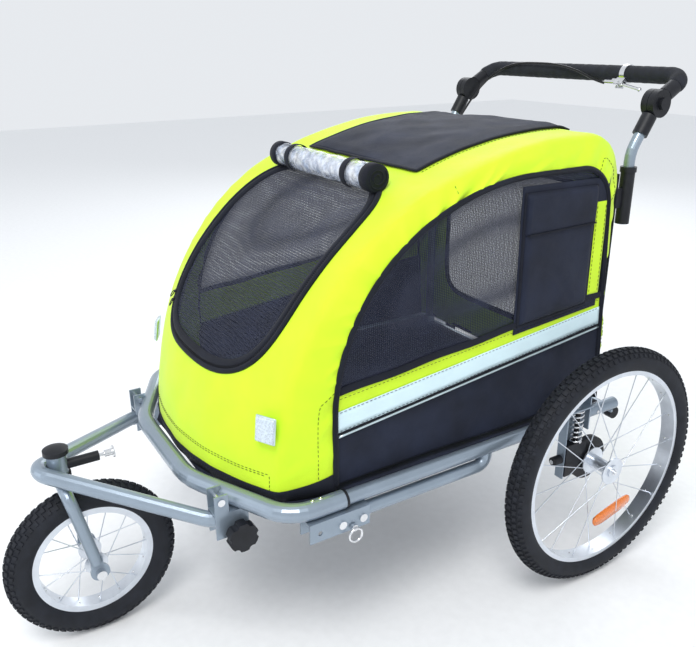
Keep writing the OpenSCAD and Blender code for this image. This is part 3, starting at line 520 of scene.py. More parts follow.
def piping_outline():
    c1, r1 = np.array([0.180, 0.472]), 0.340
    c2, r2 = c1 + (r1 - 0.470) * np.array([-0.5, math.cos(math.radians(30))]), 0.470
    c3 = c2 + [0.115, r2 - 0.075]
    flat = c2 + [0, r2]
    turned = math.radians(86)
    rear = c3 + 0.075 * np.array([math.sin(turned), math.cos(turned)])
    foot = rear + (rear[1] - HEM_Z) / math.sin(turned) * np.array([math.cos(turned),
                                                                   -math.sin(turned)])
    return joined([
        line((-0.160, HEM_Z), (-0.160, 0.472), STEPS[0] + 1),
        arc(c1, r1, 90, 30, STEPS[1] + 1),
        arc(c2, r2, 30, 0, STEPS[2] + 1),
        line(flat, flat + [0.115, 0], STEPS[3] + 1),
        arc(c3, 0.075, 0, -86, STEPS[4] + 1),
        line(rear, foot, STEPS[5] + 1)])


HOOP = hoop_outline()
PIPING = piping_outline()
RUN = np.concatenate([[0], np.cumsum(np.linalg.norm(np.diff(HOOP, axis=0), axis=1))])
PIPING_RUN = np.concatenate([[0], np.cumsum(np.linalg.norm(np.diff(PIPING, axis=0), axis=1))])
CORNER_ROW = sum(STEPS[:5])

# Window in the front panel: a rounded rectangle in cloth coordinates (across, along)
WINDOW_HALF = np.array([0.214, 0.207])
WINDOW_MID = np.array([0.0, 0.375])
WINDOW_POWER = 3.6


def window_rim(count, grow=0.0):
    """Points round the front window's edge, grown outwards by a distance."""
    t = np.arange(count) * 2 * math.pi / count
    c, s = np.cos(t), np.sin(t)
    rim = WINDOW_MID + WINDOW_HALF * np.stack(
        [np.sign(c) * abs(c) ** (2 / WINDOW_POWER), np.sign(s) * abs(s) ** (2 / WINDOW_POWER)], 1)
    along = np.roll(rim, -1, 0) - np.roll(rim, 1, 0)
    out = unit(np.stack([along[:, 1], -along[:, 0]], 1))
    return rim + grow * out


def window_reach(across, along):
    """1 on the front window's edge, less inside it."""
    u = abs((across - WINDOW_MID[0]) / WINDOW_HALF[0])
    v = abs((along - WINDOW_MID[1]) / WINDOW_HALF[1])
    return (u ** WINDOW_POWER + v ** WINDOW_POWER) ** (1 / WINDOW_POWER)


def bulge(z, across):
    u = np.clip((BULGE_TOP_Z - z) / 0.450, 0, 1)
    return NOSE_BULGE * u * u * (3 - 2 * u) * np.clip(1 - (across / HALF_W) ** 2, 0, 1)


SHOULDER_COLS = 16
MIDDLE_COLS = 80
ACROSS = np.concatenate([
    np.linspace(-HALF_W - SHOULDER, -HALF_W, SHOULDER_COLS + 1)[:-1],
    np.linspace(-HALF_W, HALF_W, MIDDLE_COLS + 1),
    np.linspace(HALF_W, HALF_W + SHOULDER, SHOULDER_COLS + 1)[1:]])


def plain_cover():
    """Grid of the cabin's outer surface without folds: rows along it, columns across."""
    grid = np.zeros((len(HOOP), len(ACROSS), 3))
    for j, w in enumerate(ACROSS):
        side = math.copysign(1, w)
        if abs(w) <= HALF_W + 1e-9:
            grid[:, j, 0] = w
            grid[:, j, 1] = HOOP[:, 0] - bulge(HOOP[:, 1], w)
            grid[:, j, 2] = HOOP[:, 1]
        else:
            u = (abs(w) - HALF_W) / SHOULDER
            grid[:, j, 0] = side * (HALF_W + (SIDE_X - HALF_W) * math.sin(u * math.pi / 2))
            grid[:, j, 1:] = HOOP + (PIPING - HOOP) * u
    return grid


def normals_of(grid):
    along, across = np.gradient(grid, axis=0), np.gradient(grid, axis=1)
    n = unit(np.cross(across, along))
    middle = np.array([0.0, 0.15, 0.5])
    return n * np.sign(((grid - middle) * n).sum(-1).mean())


def fold(p, q, seed):
    """A crease pattern: narrow ridges that run along q."""
    return 1 - 2.2 * abs(wave((p, q), seed)) ** 0.8


def folded_cover():
    """The cover with its gathers, folds and rounded edges over the hoops."""
    grid = plain_cover()
    for _ in range(5):
        calm = grid.copy()
        calm[:, 1:-1] = 0.5 * grid[:, 1:-1] + 0.25 * (grid[:, :-2] + grid[:, 2:])
        near = np.exp(-((abs(ACROSS) - HALF_W) / 0.022) ** 2)[None, :, None]
        grid = grid * (1 - near) + calm * near
    normals = normals_of(grid)
    width = np.linalg.norm(HOOP - PIPING, axis=1)
    for i in range(len(HOOP)):
        for j, w in enumerate(ACROSS):
            side = 1 if w > 0 else 2
            out = abs(w) - HALF_W
            move = 0.0016 * wave((w / 0.13, RUN[i] / 0.12), 5) \
                + 0.0009 * wave((w / 0.045, RUN[i] / 0.05), 9)
            if out > 0:
                u = out / SHOULDER
                q = (1 - u) * width[i]
                p = PIPING_RUN[i]
                pinch = math.exp(-q / 0.045) * (1 - math.exp(-q / 0.004))
                move += 0.0060 * pinch * (fold(p / 0.036, q / 0.12, 11 * side) - 0.2)
                move += 0.0030 * math.exp(-q / 0.09) * wave((p / 0.07, q / 0.05), 17 * side)
            else:
                reach = float(window_reach(w, RUN[i]))
                taut = min(1.0, abs(reach - 1) / 0.10)
                low = math.exp(-RUN[i] / 0.10)
                move += 0.0022 * low * fold(w / 0.10 + RUN[i] / 0.12, RUN[i] / 0.3, 23)
                if RUN[i] > PANEL_TOP:
                    move += 0.0012 * wave((w / 0.05, RUN[i] / 0.10), 29)
                move *= 0.25 + 0.75 * taut
            grid[i, j] += normals[i, j] * move
    return grid


COVER = folded_cover()
COVER_OUT = normals_of(COVER)


def on_cover(across, along, lift=0.0):
    """Points of the folded cover, in cloth coordinates, raised by lift."""
    across, along = np.atleast_1d(across).astype(float), np.atleast_1d(along).astype(float)
    i = np.clip(np.interp(along, RUN, np.arange(len(RUN))), 0, len(RUN) - 1.001)
    j = np.clip(np.interp(across, ACROSS, np.arange(len(ACROSS))), 0, len(ACROSS) - 1.001)
    i0, j0 = i.astype(int), j.astype(int)
    a, b = (i - i0)[:, None], (j - j0)[:, None]

    def mix(grid):
        return ((grid[i0, j0] * (1 - b) + grid[i0, j0 + 1] * b) * (1 - a)
                + (grid[i0 + 1, j0] * (1 - b) + grid[i0 + 1, j0 + 1] * b) * a)

    lift = np.broadcast_to(lift, i.shape)[:, None]
    return mix(COVER) + unit(mix(COVER_OUT)) * lift


def cover_out(across, along):
    return unit(on_cover(across, along, 0.01) - on_cover(across, along, 0.0))


# ------------------------------------------------------------------ cabin fabric


def edge_points(gone):
    """Inner grid points that have both kept faces and removed ones round them."""
    for i in range(1, gone.shape[0]):
        for j in range(1, gone.shape[1]):
            around = gone[i - 1:i + 1, j - 1:j + 1]
            if around.any() and not around.all():
                yield i, j


def make_cover():
    """Front, roof and both shoulders in one continuous sheet with the window cut out."""
    mid_row = (RUN[:-1] + RUN[1:]) / 2
    mid_col = (ACROSS[:-1] + ACROSS[1:]) / 2
    reach = window_reach(mid_col[None, :], mid_row[:, None])
    gone = reach < 1
    behind = np.zeros_like(gone)
    behind[CORNER_ROW:, :] = (abs(mid_col) < HALF_W)[None, :]
    grid = COVER.copy()
    for i, j in edge_points(gone):
        near = float(window_reach(ACROSS[j], RUN[i]))
        spot = WINDOW_MID + (np.array([ACROSS[j], RUN[i]]) - WINDOW_MID) / near
        grid[i, j] = on_cover(spot[0], spot[1])[0]
    piece = Shape().grid(grid, ~(gone | behind)).piece("cabin_cover", "yellow")
    thicken(piece, 0.0016)
    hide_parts("cover_front", "cover_roof", "cover_sides")
    return piece


def ring_on_cover(name, rim_at, profile, look):
    """A band that follows the window's edge: profile lists (outwards, raised) pairs."""
    rings = []
    for out, raised in profile:
        spots = rim_at(out)
        rings.append(on_cover(spots[:, 0], spots[:, 1], raised))
    grid = np.stack(rings + [rings[0]], 0)
    grid = np.concatenate([grid, grid[:, :1]], 1)
    return Shape().grid(grid).piece(name, look)


def make_front_window():
    """Zip border with its teeth, the net inside it and the two pulls."""
    count = 240
    ring_on_cover(
        "front_zip_border", lambda out: window_rim(count, out),
        [(-0.016, -0.001), (-0.015, 0.0022), (-0.008, 0.0042), (-0.0045, 0.0040),
         (-0.003, 0.0020), (-0.0005, 0.0020), (0.001, 0.0046), (0.0045, 0.0052),
         (0.0075, 0.0040), (0.009, 0.0008)], "binding")
    coil = Shape()
    rim = resample(np.hstack([window_rim(count, -0.0018), np.zeros((count, 1))]), 0.0034, True)
    spots = on_cover(rim[:, 0], rim[:, 1], 0.0028)
    outs = cover_out(rim[:, 0], rim[:, 1])
    ahead = directions(spots, True)
    for spot, out, d in zip(spots, outs, ahead):
        across = np.cross(d, out)
        coil.sweep(tube_rings([spot - across * 0.0018, spot + across * 0.0018],
                              0.0009, 0.0009, out, 4))
    coil.piece("front_zip_teeth", "plastic")
    steps = np.linspace(0, 1, 24)
    rim = window_rim(count, -0.010)
    rings = [on_cover(*(WINDOW_MID + (rim - WINDOW_MID) * t).T, -0.0015) for t in steps[1:]]
    centre = on_cover(*WINDOW_MID, -0.0015)
    grid = np.stack([np.repeat(centre, count, 0)] + rings, 0)
    grid = np.concatenate([grid, grid[:, :1]], 1)
    grid[..., 1] += 0.004 * np.sin(math.pi * np.clip(steps, 0, 1))[:, None]
    net = Shape().grid(grid).piece("front_net", "net")
    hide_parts("front_window")
    make_zip_pulls()
    return net


def make_zip_pulls():
    """Two sliders with their pull tabs, side by side at the window's lower right corner."""
    for k, angle in enumerate((214.5, 221.0)):
        rim = window_rim(720, 0.0)[int(angle * 2)]
        base = on_cover(rim[0], rim[1], 0.004)[0]
        out = cover_out(rim[0], rim[1])[0]
        down = unit(np.cross(np.array([1.0, 0, 0]), out)) * (-1)
        down = down if down[2] < 0 else -down
        lean = unit(down + np.array([-0.5 + 0.45 * k, 0, 0]))
        shape = Shape()
        shape.sweep(tube_rings([base - lean * 0.006, base, base + lean * 0.007],
                               [0.0036, 0.0044, 0.003], [0.0022, 0.003, 0.002], out, 10))
        ring = [base + lean * 0.012 + out * 0.003
                + 0.0052 * (math.cos(t) * lean * 1.5 + math.sin(t) * np.cross(lean, out))
                for t in np.arange(18) * math.pi / 9]
        shape.sweep(tube_rings(ring, 0.0013, 0.001, out, 6, True), True)
        shape.piece(f"zip_pull_{k + 1}", "plastic")


def stitch_line(shape, path, out, dash=0.0055, gap=0.0028, r=0.00055):
    """Sewn dashes along a path, each a short flat thread."""
    path = resample(path, dash + gap)
    for a, b in zip(path[:-1], path[1:]):
        d = unit(b - a)
        shape.sweep(tube_rings([a, a + d * dash * 0.5, a + d * dash],
                               [r * 0.5, r, r * 0.5], [r * 0.5, r, r * 0.5],
                               out, 5))


def seam_on_cover(shape, spots, lift=0.0006):
    """Stitches along a path given in cloth coordinates."""
    fine = resample(np.hstack([np.array(spots, float), np.zeros((len(spots), 1))]), 0.006)
    stitch_line(shape, on_cover(fine[:, 0], fine[:, 1], lift), np.array([0.3, -0.4, 0.85]))


def make_cover_stitches():
    """Every line of stitches on the cover and its shoulders."""
    shape = Shape()
    edge = HALF_W + SHOULDER
    for side in (1, -1):
        seam_on_cover(shape, [(side * 0.345, 0.004), (side * 0.345, 0.112),
                              (side * (edge - 0.003), 0.116)])
        seam_on_cover(shape, [(side * 0.262, 0.003), (side * 0.262, 0.034)])
        seam_on_cover(shape, [(side * (edge - 0.006), 1.000), (side * 0.336, 0.998),
                              (side * 0.331, 1.003), (side * 0.331, 1.082),
                              (side * 0.336, 1.087), (side * (edge - 0.006), 1.089)])
        seam_on_cover(shape, [(side * 0.300, 0.640), (side * 0.345, 0.662)])
        seam_on_cover(shape, [(side * 0.290, 1.215), (side * 0.290, 1.33),
                              (side * 0.345, 1.335), (side * 0.345, 1.49)])
    seam_on_cover(shape, [(w, 0.034) for w in np.linspace(-0.262, 0.262, 30)])
    seam_on_cover(shape, [(w, 0.030) for w in np.linspace(-0.255, 0.255, 30)])
    for side in (1, -1):
        seam_on_cover(shape, [(side * 0.196, s) for s in np.linspace(0.63, 1.06, 12)])
    shape.piece("cover_stitches", "thread")


def rim_sweep(name, path, width, height, normal, look, closed=False, body="chassis", sides=12):
    rings = tube_rings(path, width, height, normal, sides, closed)
    return Shape().sweep(rings, closed).piece(name, look, body)


def make_hem():
    """Black hem strip that hangs between the cover and the front tube."""
    across = np.linspace(-HALF_W - SHOULDER, HALF_W + SHOULDER, 160)
    grid = np.stack([on_cover(across, np.zeros(160), 0.0012),
                     on_cover(across, np.full(160, 0.006), 0.0016)], 0)
    low = grid[0].copy()
    low[:, 2] -= 0.013
    low[:, 1] += 0.002
    grid = np.concatenate([low[None], grid], 0)
    hem = Shape().grid(grid).piece("front_hem", "binding")
    thicken(hem, 0.0014, 0)
    return hem


def side_point(side, y, z, raise_by=0.0):
    return np.stack([side * (SIDE_X + raise_by) * np.ones_like(y), y, z], -1)


def front_edge(z):
    u = np.clip((z - 0.472) / 0.340, 0, 0.999)
    return np.where(z < 0.472, -0.160, 0.180 - 0.340 * np.sqrt(1 - u * u))


def rear_edge(z):
    return 0.4348 + 0.0699 * (0.7596 - z)


def side_grid(side, low, high, rows, cols, raise_by, ripple=0.0, inset=0.0, seed=3.0):
    """Grid on the side panel between two sloping lines, each given as (height, slope)."""
    v = np.linspace(0, 1, rows)[:, None]
    f = np.linspace(0, 1, cols)[None, :]
    y = np.full((rows, cols), 0.15)
    for _ in range(4):
        z = (low[0] + low[1] * y) * (1 - v) + (high[0] + high[1] * y) * v
        y = (front_edge(z) + inset) * (1 - f) + (rear_edge(z) - inset) * f
    z = (low[0] + low[1] * y) * (1 - v) + (high[0] + high[1] * y) * v
    grid = side_point(side, y, z, raise_by)
    if ripple:
        for i in range(rows):
            for j in range(cols):
                spread = math.sin(math.pi * min(1, max(0, f[0, j]))) ** 0.4
                push = wave((y[i, j] / 0.09, z[i, j] / 0.20), seed) \
                    + 0.5 * fold(y[i, j] / 0.12 + z[i, j] / 0.16, z[i, j] / 0.4, seed + 7)
                grid[i, j, 0] += side * ripple * (push - 0.6) * spread
    return grid


BAND_TOP = (0.534, 0.0985)
BAND_BOTTOM = (0.466, 0.113)
TAPE_TOP = (0.5045, 0.1103)
HEM_LINE = (HEM_Z, 0.0)


def shifted(line_at, up):
    return (line_at[0] + up, line_at[1])


def window_top(count):
    """Piping points from the band's front end, over the top, to its rear end."""
    line_z = BAND_TOP[0] + BAND_TOP[1] * PIPING[:, 0]
    above = np.nonzero(PIPING[:, 1] > line_z)[0]
    path = np.hstack([np.zeros((len(above), 1)), PIPING[above]])
    run = np.concatenate([[0], np.cumsum(np.linalg.norm(np.diff(path, axis=0), axis=1))])
    at = np.linspace(0, run[-1], count)
    return np.stack([np.interp(at, run, path[:, k]) for k in (1, 2)], 1)


def make_side(name, side):
    """Net, bands, lower cloth, tape and all the edging of one side."""
    net = np.linspace(0, 1, 30)[:, None, None]
    top = window_top(90)
    front, rear = top[0, 0], top[-1, 0]
    foot_y = np.linspace(front, rear, 90)
    foot = np.stack([foot_y, BAND_TOP[0] + BAND_TOP[1] * foot_y], 1)
    area = foot[None] * (1 - net) + top[None] * net
    grid = side_point(side, area[..., 0], area[..., 1], -0.0015)
    belly = np.sin(np.pi * np.linspace(0, 1, 30))[:, None] * np.sin(
        np.pi * np.linspace(0, 1, 90))[None, :]
    grid[..., 0] -= side * 0.006 * belly
    window = Shape().grid(grid).piece(f"{name}_side_net", "net")
    band = Shape().grid(side_grid(side, BAND_BOTTOM, BAND_TOP, 14, 90, -0.001, 0.0012)).piece(
        f"{name}_side_band", "yellow")
    thicken(band, 0.0014, 0)
    lower = Shape().grid(side_grid(side, HEM_LINE, BAND_BOTTOM, 26, 110, -0.001, 0.0032, 0, 8.0)
                         ).piece(f"{name}_lower_cloth", "black")
    thicken(lower, 0.0014, 0)
    tape = Shape().grid(side_grid(side, shifted(BAND_BOTTOM, 0.001), TAPE_TOP, 5, 90, 0.0012,
                                  0.0012, 0.003)).piece(f"{name}_reflective_tape", "tape")
    thicken(tape, 0.0006, 0)
    seams = Shape()
    for height in (shifted(TAPE_TOP, -0.002), shifted(BAND_BOTTOM, 0.003),
                   shifted(BAND_TOP, -0.009)):
        y = np.linspace(-0.152, 0.44, 60)
        stitch_line(seams, side_point(side, y, height[0] + height[1] * y, 0.0022),
                    np.array([1.0, 0, 0]))
    seams.piece(f"{name}_side_stitches", "thread")
    y = np.linspace(-0.155, 0.450, 60)
    rim_sweep(f"{name}_silver_piping",
              side_point(side, y, BAND_BOTTOM[0] - 0.0065 + BAND_BOTTOM[1] * y, 0.0012),
              0.0022, 0.0022, (1, 0, 0), "silver_piping")
    rim_sweep(f"{name}_piping_shadow",
              side_point(side, y, BAND_BOTTOM[0] - 0.0015 + BAND_BOTTOM[1] * y, 0.0008),
              0.0016, 0.0012, (1, 0, 0), "binding")
    rim_sweep(f"{name}_window_binding",
              side_point(side, y, BAND_TOP[0] + 0.002 + BAND_TOP[1] * y
                         + 0.0012 * np.sin(y * 37), 0.0006),
              0.0068, 0.0028, (1, 0, 0), "binding")
    edge = resample(np.hstack([np.full((len(PIPING), 1), side * (SIDE_X + 0.001)), PIPING]), 0.006)
    rim_sweep(f"{name}_side_piping", edge, 0.0052, 0.0040, (1, 0, 0), "binding")
    edge[:, 0] = side * (SIDE_X + 0.0042)
    rim_sweep(f"{name}_side_piping_cord", edge, 0.0021, 0.0021, (1, 0, 0), "binding")
    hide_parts("side_windows")
    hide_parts("lower_panels")
    return window, band, lower, tape


def make_rear_door():
    """Rear panel with its rounded window, net and black edge."""
    low, high = np.array([-0.215, 0.440]), np.array([0.215, 0.780])
    mid, half, power = (low + high) / 2, (high - low) / 2, 7.0

    def reach(x, z):
        return (abs((x - mid[0]) / half[0]) ** power + abs((z - mid[1]) / half[1]) ** power) ** (
            1 / power)

    def rim(count, grow):
        t = np.arange(count) * 2 * math.pi / count
        c, s = np.cos(t), np.sin(t)
        return mid + (half + grow) * np.stack(
            [np.sign(c) * abs(c) ** (2 / power), np.sign(s) * abs(s) ** (2 / power)], 1)

    xs = np.linspace(-HALF_W, HALF_W, 93)
    zs = np.linspace(HEM_Z, REAR_Z, 76)
    grid = np.zeros((76, 93, 3))
    grid[..., 0], grid[..., 2] = xs[None, :], zs[:, None]
    for i in range(76):
        for j in range(93):
            taut = min(1.0, abs(float(reach(xs[j], zs[i])) - 1) / 0.15)
            grid[i, j, 1] = REAR_Y - 0.001 + 0.0025 * taut * wave((xs[j] / 0.09, zs[i] / 0.1), 31)
    gone = reach((xs[:-1] + xs[1:])[None, :] / 2, (zs[:-1] + zs[1:])[:, None] / 2) < 1
    for i, j in edge_points(gone):
        grid[i, j, [0, 2]] = mid + (np.array([xs[j], zs[i]]) - mid) / reach(xs[j], zs[i])
    door = Shape().grid(grid, ~gone).piece("rear_door", "yellow")
    thicken(door, 0.0014, 0)
    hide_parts("cover_rear")
    edge = rim(160, 0.0)
    path = np.stack([edge[:, 0], np.full(160, REAR_Y + 0.0005), edge[:, 1]], 1)
    rim_sweep("rear_window_binding", path, 0.008, 0.003, (0, 1, 0), "binding", True)
    steps = np.linspace(0, 1, 14)[:, None, None]
    rings = mid + (edge - mid)[None] * steps
    net_grid = np.stack([rings[..., 0], np.full(rings.shape[:2], REAR_Y - 0.002), rings[..., 1]],
                        -1)
    net_grid = np.concatenate([net_grid, net_grid[:, :1]], 1)
    net = Shape().grid(net_grid).piece("rear_net", "net")
    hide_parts("rear_window")
    hem = np.stack([xs, np.full(93, REAR_Y), np.full(93, HEM_Z + 0.004)], 1)
    rim_sweep("rear_hem", hem, 0.006, 0.0025, (0, 1, 0), "binding")
    for side in (1, -1):
        post = np.stack([np.full(60, side * HALF_W), np.full(60, REAR_Y + 0.0008),
                         np.linspace(HEM_Z, REAR_Z, 60)], 1)
        tag = "left" if side > 0 else "right"
        rim_sweep(f"rear_zip_{tag}", post, 0.0055, 0.003, (0, 1, 0), "binding")
    return door, net


def make_roof_panel():
    """Black panel on the roof, with its folds, edge binding and small tabs."""
    half, start, end = 0.186, 0.628, 0.990
    xs, ss = np.linspace(-half, half, 70), np.linspace(start, end, 70)
    across, along = np.meshgrid(xs, ss)
    grid = on_cover(across.ravel(), along.ravel(), 0.0030).reshape(70, 70, 3)
    for i in range(70):
        for j in range(70):
            edge = min(1.0, (half - abs(xs[j])) / 0.03, (ss[i] - start) / 0.03 + 0.3,
                       (end - ss[i]) / 0.03 + 0.2)
            rise = 0.0035 * fold(xs[j] / 0.16 + ss[i] / 0.22, ss[i] / 0.5, 41) \
                + 0.002 * wave((xs[j] / 0.06, ss[i] / 0.05), 43)
            grid[i, j, 2] += max(0.0, edge) * (rise + 0.002)
    panel = Shape().grid(grid).piece("roof_panel_cloth", "black")
    thicken(panel, 0.0012, 1)
    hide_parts("roof_panel")
    frame_path = [(x, start) for x in xs] + [(half, s) for s in ss[1:]] \
        + [(x, end) for x in xs[::-1][1:]] + [(-half, s) for s in ss[::-1][1:-1]]
    spots = np.array(frame_path)
    rim_sweep("roof_panel_binding", on_cover(spots[:, 0], spots[:, 1], 0.0036), 0.0048, 0.0024,
              (0, -0.2, 1), "binding", True)
    for k, x in enumerate((-0.10, 0.10)):
        tab = Shape()
        spots = np.array([(x, s) for s in np.linspace(end - 0.01, end + 0.030, 8)])
        lifts = 0.005 + 0.003 * np.sin(np.linspace(0, math.pi, 8))
        tab.sweep(tube_rings(on_cover(spots[:, 0], spots[:, 1], lifts), 0.010, 0.0012,
                             (0, 0, 1), 10))
        tab.piece(f"roof_tab_{k + 1}", "binding")
    return panel


def circle(centre, x, r, a):
    """Points at angles a on a circle about X."""
    return centre + np.stack([np.full(len(a), x), r * np.cos(a), r * np.sin(a)], 1)


def make_rolled_cover():
    """Clear rain cover rolled up over the front edge of the roof, in black-bound ends."""
    centre = np.array([0.0, -0.001, 0.829])
    turns, sides = 44, 36
    a = np.arange(sides) * 2 * math.pi / sides
    rings = []
    for x in np.linspace(-0.158, 0.158, turns):
        r = np.array([0.0225 + 0.0022 * wave((x / 0.03, math.cos(t) * 1.6 + math.sin(t)), 51)
                      for t in a])
        rings.append(circle(centre, x, r, a))
    roll = Shape().sweep(rings)
    for inner in (0.017, 0.012):
        roll.sweep([centre + np.stack([np.full(sides, x), inner * np.cos(a) + 0.001,
                                       inner * np.sin(a)], 1) for x in (-0.156, 0.156)])
    film = roll.piece("rain_cover_roll", "film")
    for tag, x0, x1 in (("left", 0.156, 0.180), ("right", -0.180, -0.156)):
        cuff = Shape()
        cuff.sweep([circle(centre, x, r, a)
                    for x, r in ((x0, 0.0215), (x0 + 0.002, 0.0248), (x1 - 0.002, 0.0248),
                                 (x1, 0.0215))])
        turn = np.linspace(0, 4.2 * math.pi, 90)
        radius = 0.0045 + 0.0155 * turn / turn[-1]
        end = x1 + 0.0006 if x1 > 0 else x0 - 0.0006
        spiral = circle(centre, end, radius, turn)
        cuff.sweep(tube_rings(spiral, 0.0011, 0.0011, (1, 0, 0), 6))
        cuff.piece(f"rain_cover_end_{tag}", "binding")
    for k, x in enumerate((-0.105, 0.105)):
        around = np.linspace(math.radians(-70), math.radians(250), 40)
        band, out = circle(centre, x, 0.0256, around), circle(np.zeros(3), 0, 1, around)
        rim_sweep(f"rain_cover_strap_{k + 1}", band, 0.009, 0.0010, out, "binding", sides=10)
    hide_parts("rolled_rain_cover")
    return film


POCKET = np.array([(0.224, 0.556), (0.396, 0.570), (0.398, 0.798), (0.222, 0.800)])


def pocket_at(u, v, x):
    """Point of the pocket: u from front to rear, v from bottom to top, x outwards."""
    a = POCKET[0] * (1 - u) + POCKET[1] * u
    b = POCKET[3] * (1 - u) + POCKET[2] * u
    y, z = a * (1 - v) + b * v
    return (x, y, z)


def make_pocket():
    """Boxed pocket with its flap, on the panel behind the near window."""
    panel = np.array([[pocket_at(u, v, SIDE_X + 0.0010) for u in np.linspace(-0.04, 1.20, 40)]
                      for v in np.linspace(-0.06, 1.05, 40)])
    back = Shape().grid(panel).piece("pocket_panel", "black")
    thicken(back, 0.0012, 0)
    us, vs = np.linspace(0, 1, 36), np.linspace(0, 1, 44)
    grid = np.zeros((44, 36, 3))
    for i, v in enumerate(vs):
        for j, u in enumerate(us):
            rim = min(u, 1 - u, v, 1 - v)
            depth = 0.0088 * min(1, rim / 0.05) ** 0.5
            crease = 0.0012 * fold(u * 2.2 + v, v * 1.4, 61) * min(1, rim / 0.1)
            grid[i, j] = pocket_at(u, v, SIDE_X + 0.0014 + depth + crease)
    bag = Shape().grid(grid).piece("side_pocket_bag", "black")
    thicken(bag, 0.0012)
    flap = np.zeros((16, 36, 3))
    for i, v in enumerate(np.linspace(0.70, 1.0, 16)):
        for j, u in enumerate(us):
            lift = 0.0110 * min(1, (1.0 - v) / 0.04 + 0.35) * min(1, min(u, 1 - u) / 0.03 + 0.4)
            flap[i, j] = pocket_at(u, v, SIDE_X + 0.0006 + lift
                                   + 0.0007 * wave((u * 4, v * 5), 67))
    lid = Shape().grid(flap).piece("pocket_flap", "black")
    thicken(lid, 0.0014)
    edge = np.array([pocket_at(u, 0.70, SIDE_X + 0.0112) for u in np.linspace(0.02, 0.98, 30)])
    rim_sweep("pocket_flap_edge", edge, 0.0012, 0.0036, (1, 0, 0), "binding")
    path = [pocket_at(0, v, SIDE_X + 0.003) for v in np.linspace(1, 0, 20)] \
        + [pocket_at(u, 0, SIDE_X + 0.003) for u in np.linspace(0, 1, 20)[1:]] \
        + [pocket_at(1, v, SIDE_X + 0.003) for v in np.linspace(0, 1, 20)[1:]]
    rim_sweep("pocket_seam", path, 0.0030, 0.0022, (1, 0, 0), "binding")
    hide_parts("side_pocket")
    strip = np.array([[(SIDE_X + 0.0012, 0.404 + 0.030 * u - 0.010 * (z - 0.58), z)
                       for u in np.linspace(0, 1, 8)] for z in np.linspace(0.585, 0.765, 40)])
    band = Shape().grid(strip).piece("rear_side_strip", "yellow")
    thicken(band, 0.0012, 0)
    seams = Shape()
    for u in (0.12, 0.88):
        z = np.linspace(0.59, 0.76, 40)
        stitch_line(seams, np.stack([np.full(40, SIDE_X + 0.0022),
                                     0.404 + 0.030 * u - 0.010 * (z - 0.58), z], 1),
                    np.array([1.0, 0, 0]))
    seams.piece("rear_strip_stitches", "thread")
    return back, bag, lid, band


def make_floor_cloth():
    """Floor cloth, narrowing towards the nose of the front tube."""
    rows = np.linspace(-0.331, 0.474, 60)
    half = np.interp(rows, [-0.331, -0.237, -0.212, 0.474], [0.112, 0.2975, 0.3052, 0.3052])
    grid = np.zeros((60, 50, 3))
    for i, y in enumerate(rows):
        for j, u in enumerate(np.linspace(-1, 1, 50)):
            x = u * half[i]
            edge = min(1, (1 - abs(u)) * 8)
            grid[i, j] = (x, y, 0.3392 + 0.0016 * edge * wave((x / 0.07, y / 0.07), 71))
    cloth = Shape().grid(grid).piece("floor_cloth", "black")
    thicken(cloth, 0.003)
    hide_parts("floor_panel")
    return cloth


# ------------------------------------------------------------------ wheels

FRONT_CENTRE = (0.0, -0.508, 0.155)
FRONT_R = 0.155
REAR_WHEEL_X = 0.386
REAR_AXLE = (0.405, 0.250)    # Y and Z
REAR_R = 0.250

BLOCK_FACES = [(0, 1, 2, 3), (4, 5, 6, 7), (0, 1, 5, 4), (1, 2, 6, 5), (2, 3, 7, 6), (3, 0, 4, 7)]
BLOCK_CORNERS = ((-1, -1), (1, -1), (1, 1), (-1, 1))
BLOCK_ROOT = -0.0010      # how far a shoulder block's foot is sunk into the casing


def centre_block(shape, centre, r, angle, width, length, height):
    """One raised block on the middle of a tyre whose axle runs along X."""
    corners = []
    for rise, grow in ((-0.0012, 1.0), (height, 0.86)):
        for a, b in BLOCK_CORNERS:
            turn = angle + 0.5 * length * grow * b / r
            corners.append((centre[0] + 0.5 * width * grow * a,
                            centre[1] + (r + rise) * math.cos(turn),
                            centre[2] + (r + rise) * math.sin(turn)))
    shape.add(corners, BLOCK_FACES)


def shoulder_block(shape, centre, outer, spot, lean, angle, width, length, height):
    """One raised block on a tyre's shoulder: spot is its (x, radius) and lean its slope."""
    out = np.array([math.sin(lean), math.cos(lean)])
    across = np.array([math.cos(lean), -math.sin(lean)])
    corners = []
    for rise, grow in ((BLOCK_ROOT, 1.0), (height, 0.84)):
        for a, b in BLOCK_CORNERS:
            flat = np.array(spot) + out * rise + across * 0.5 * width * grow * a
            turn = angle + 0.5 * length * grow * b / outer
            corners.append((centre[0] + flat[0], centre[1] + flat[1] * math.cos(turn),
                            centre[2] + flat[1] * math.sin(turn)))
    shape.add(corners, BLOCK_FACES)


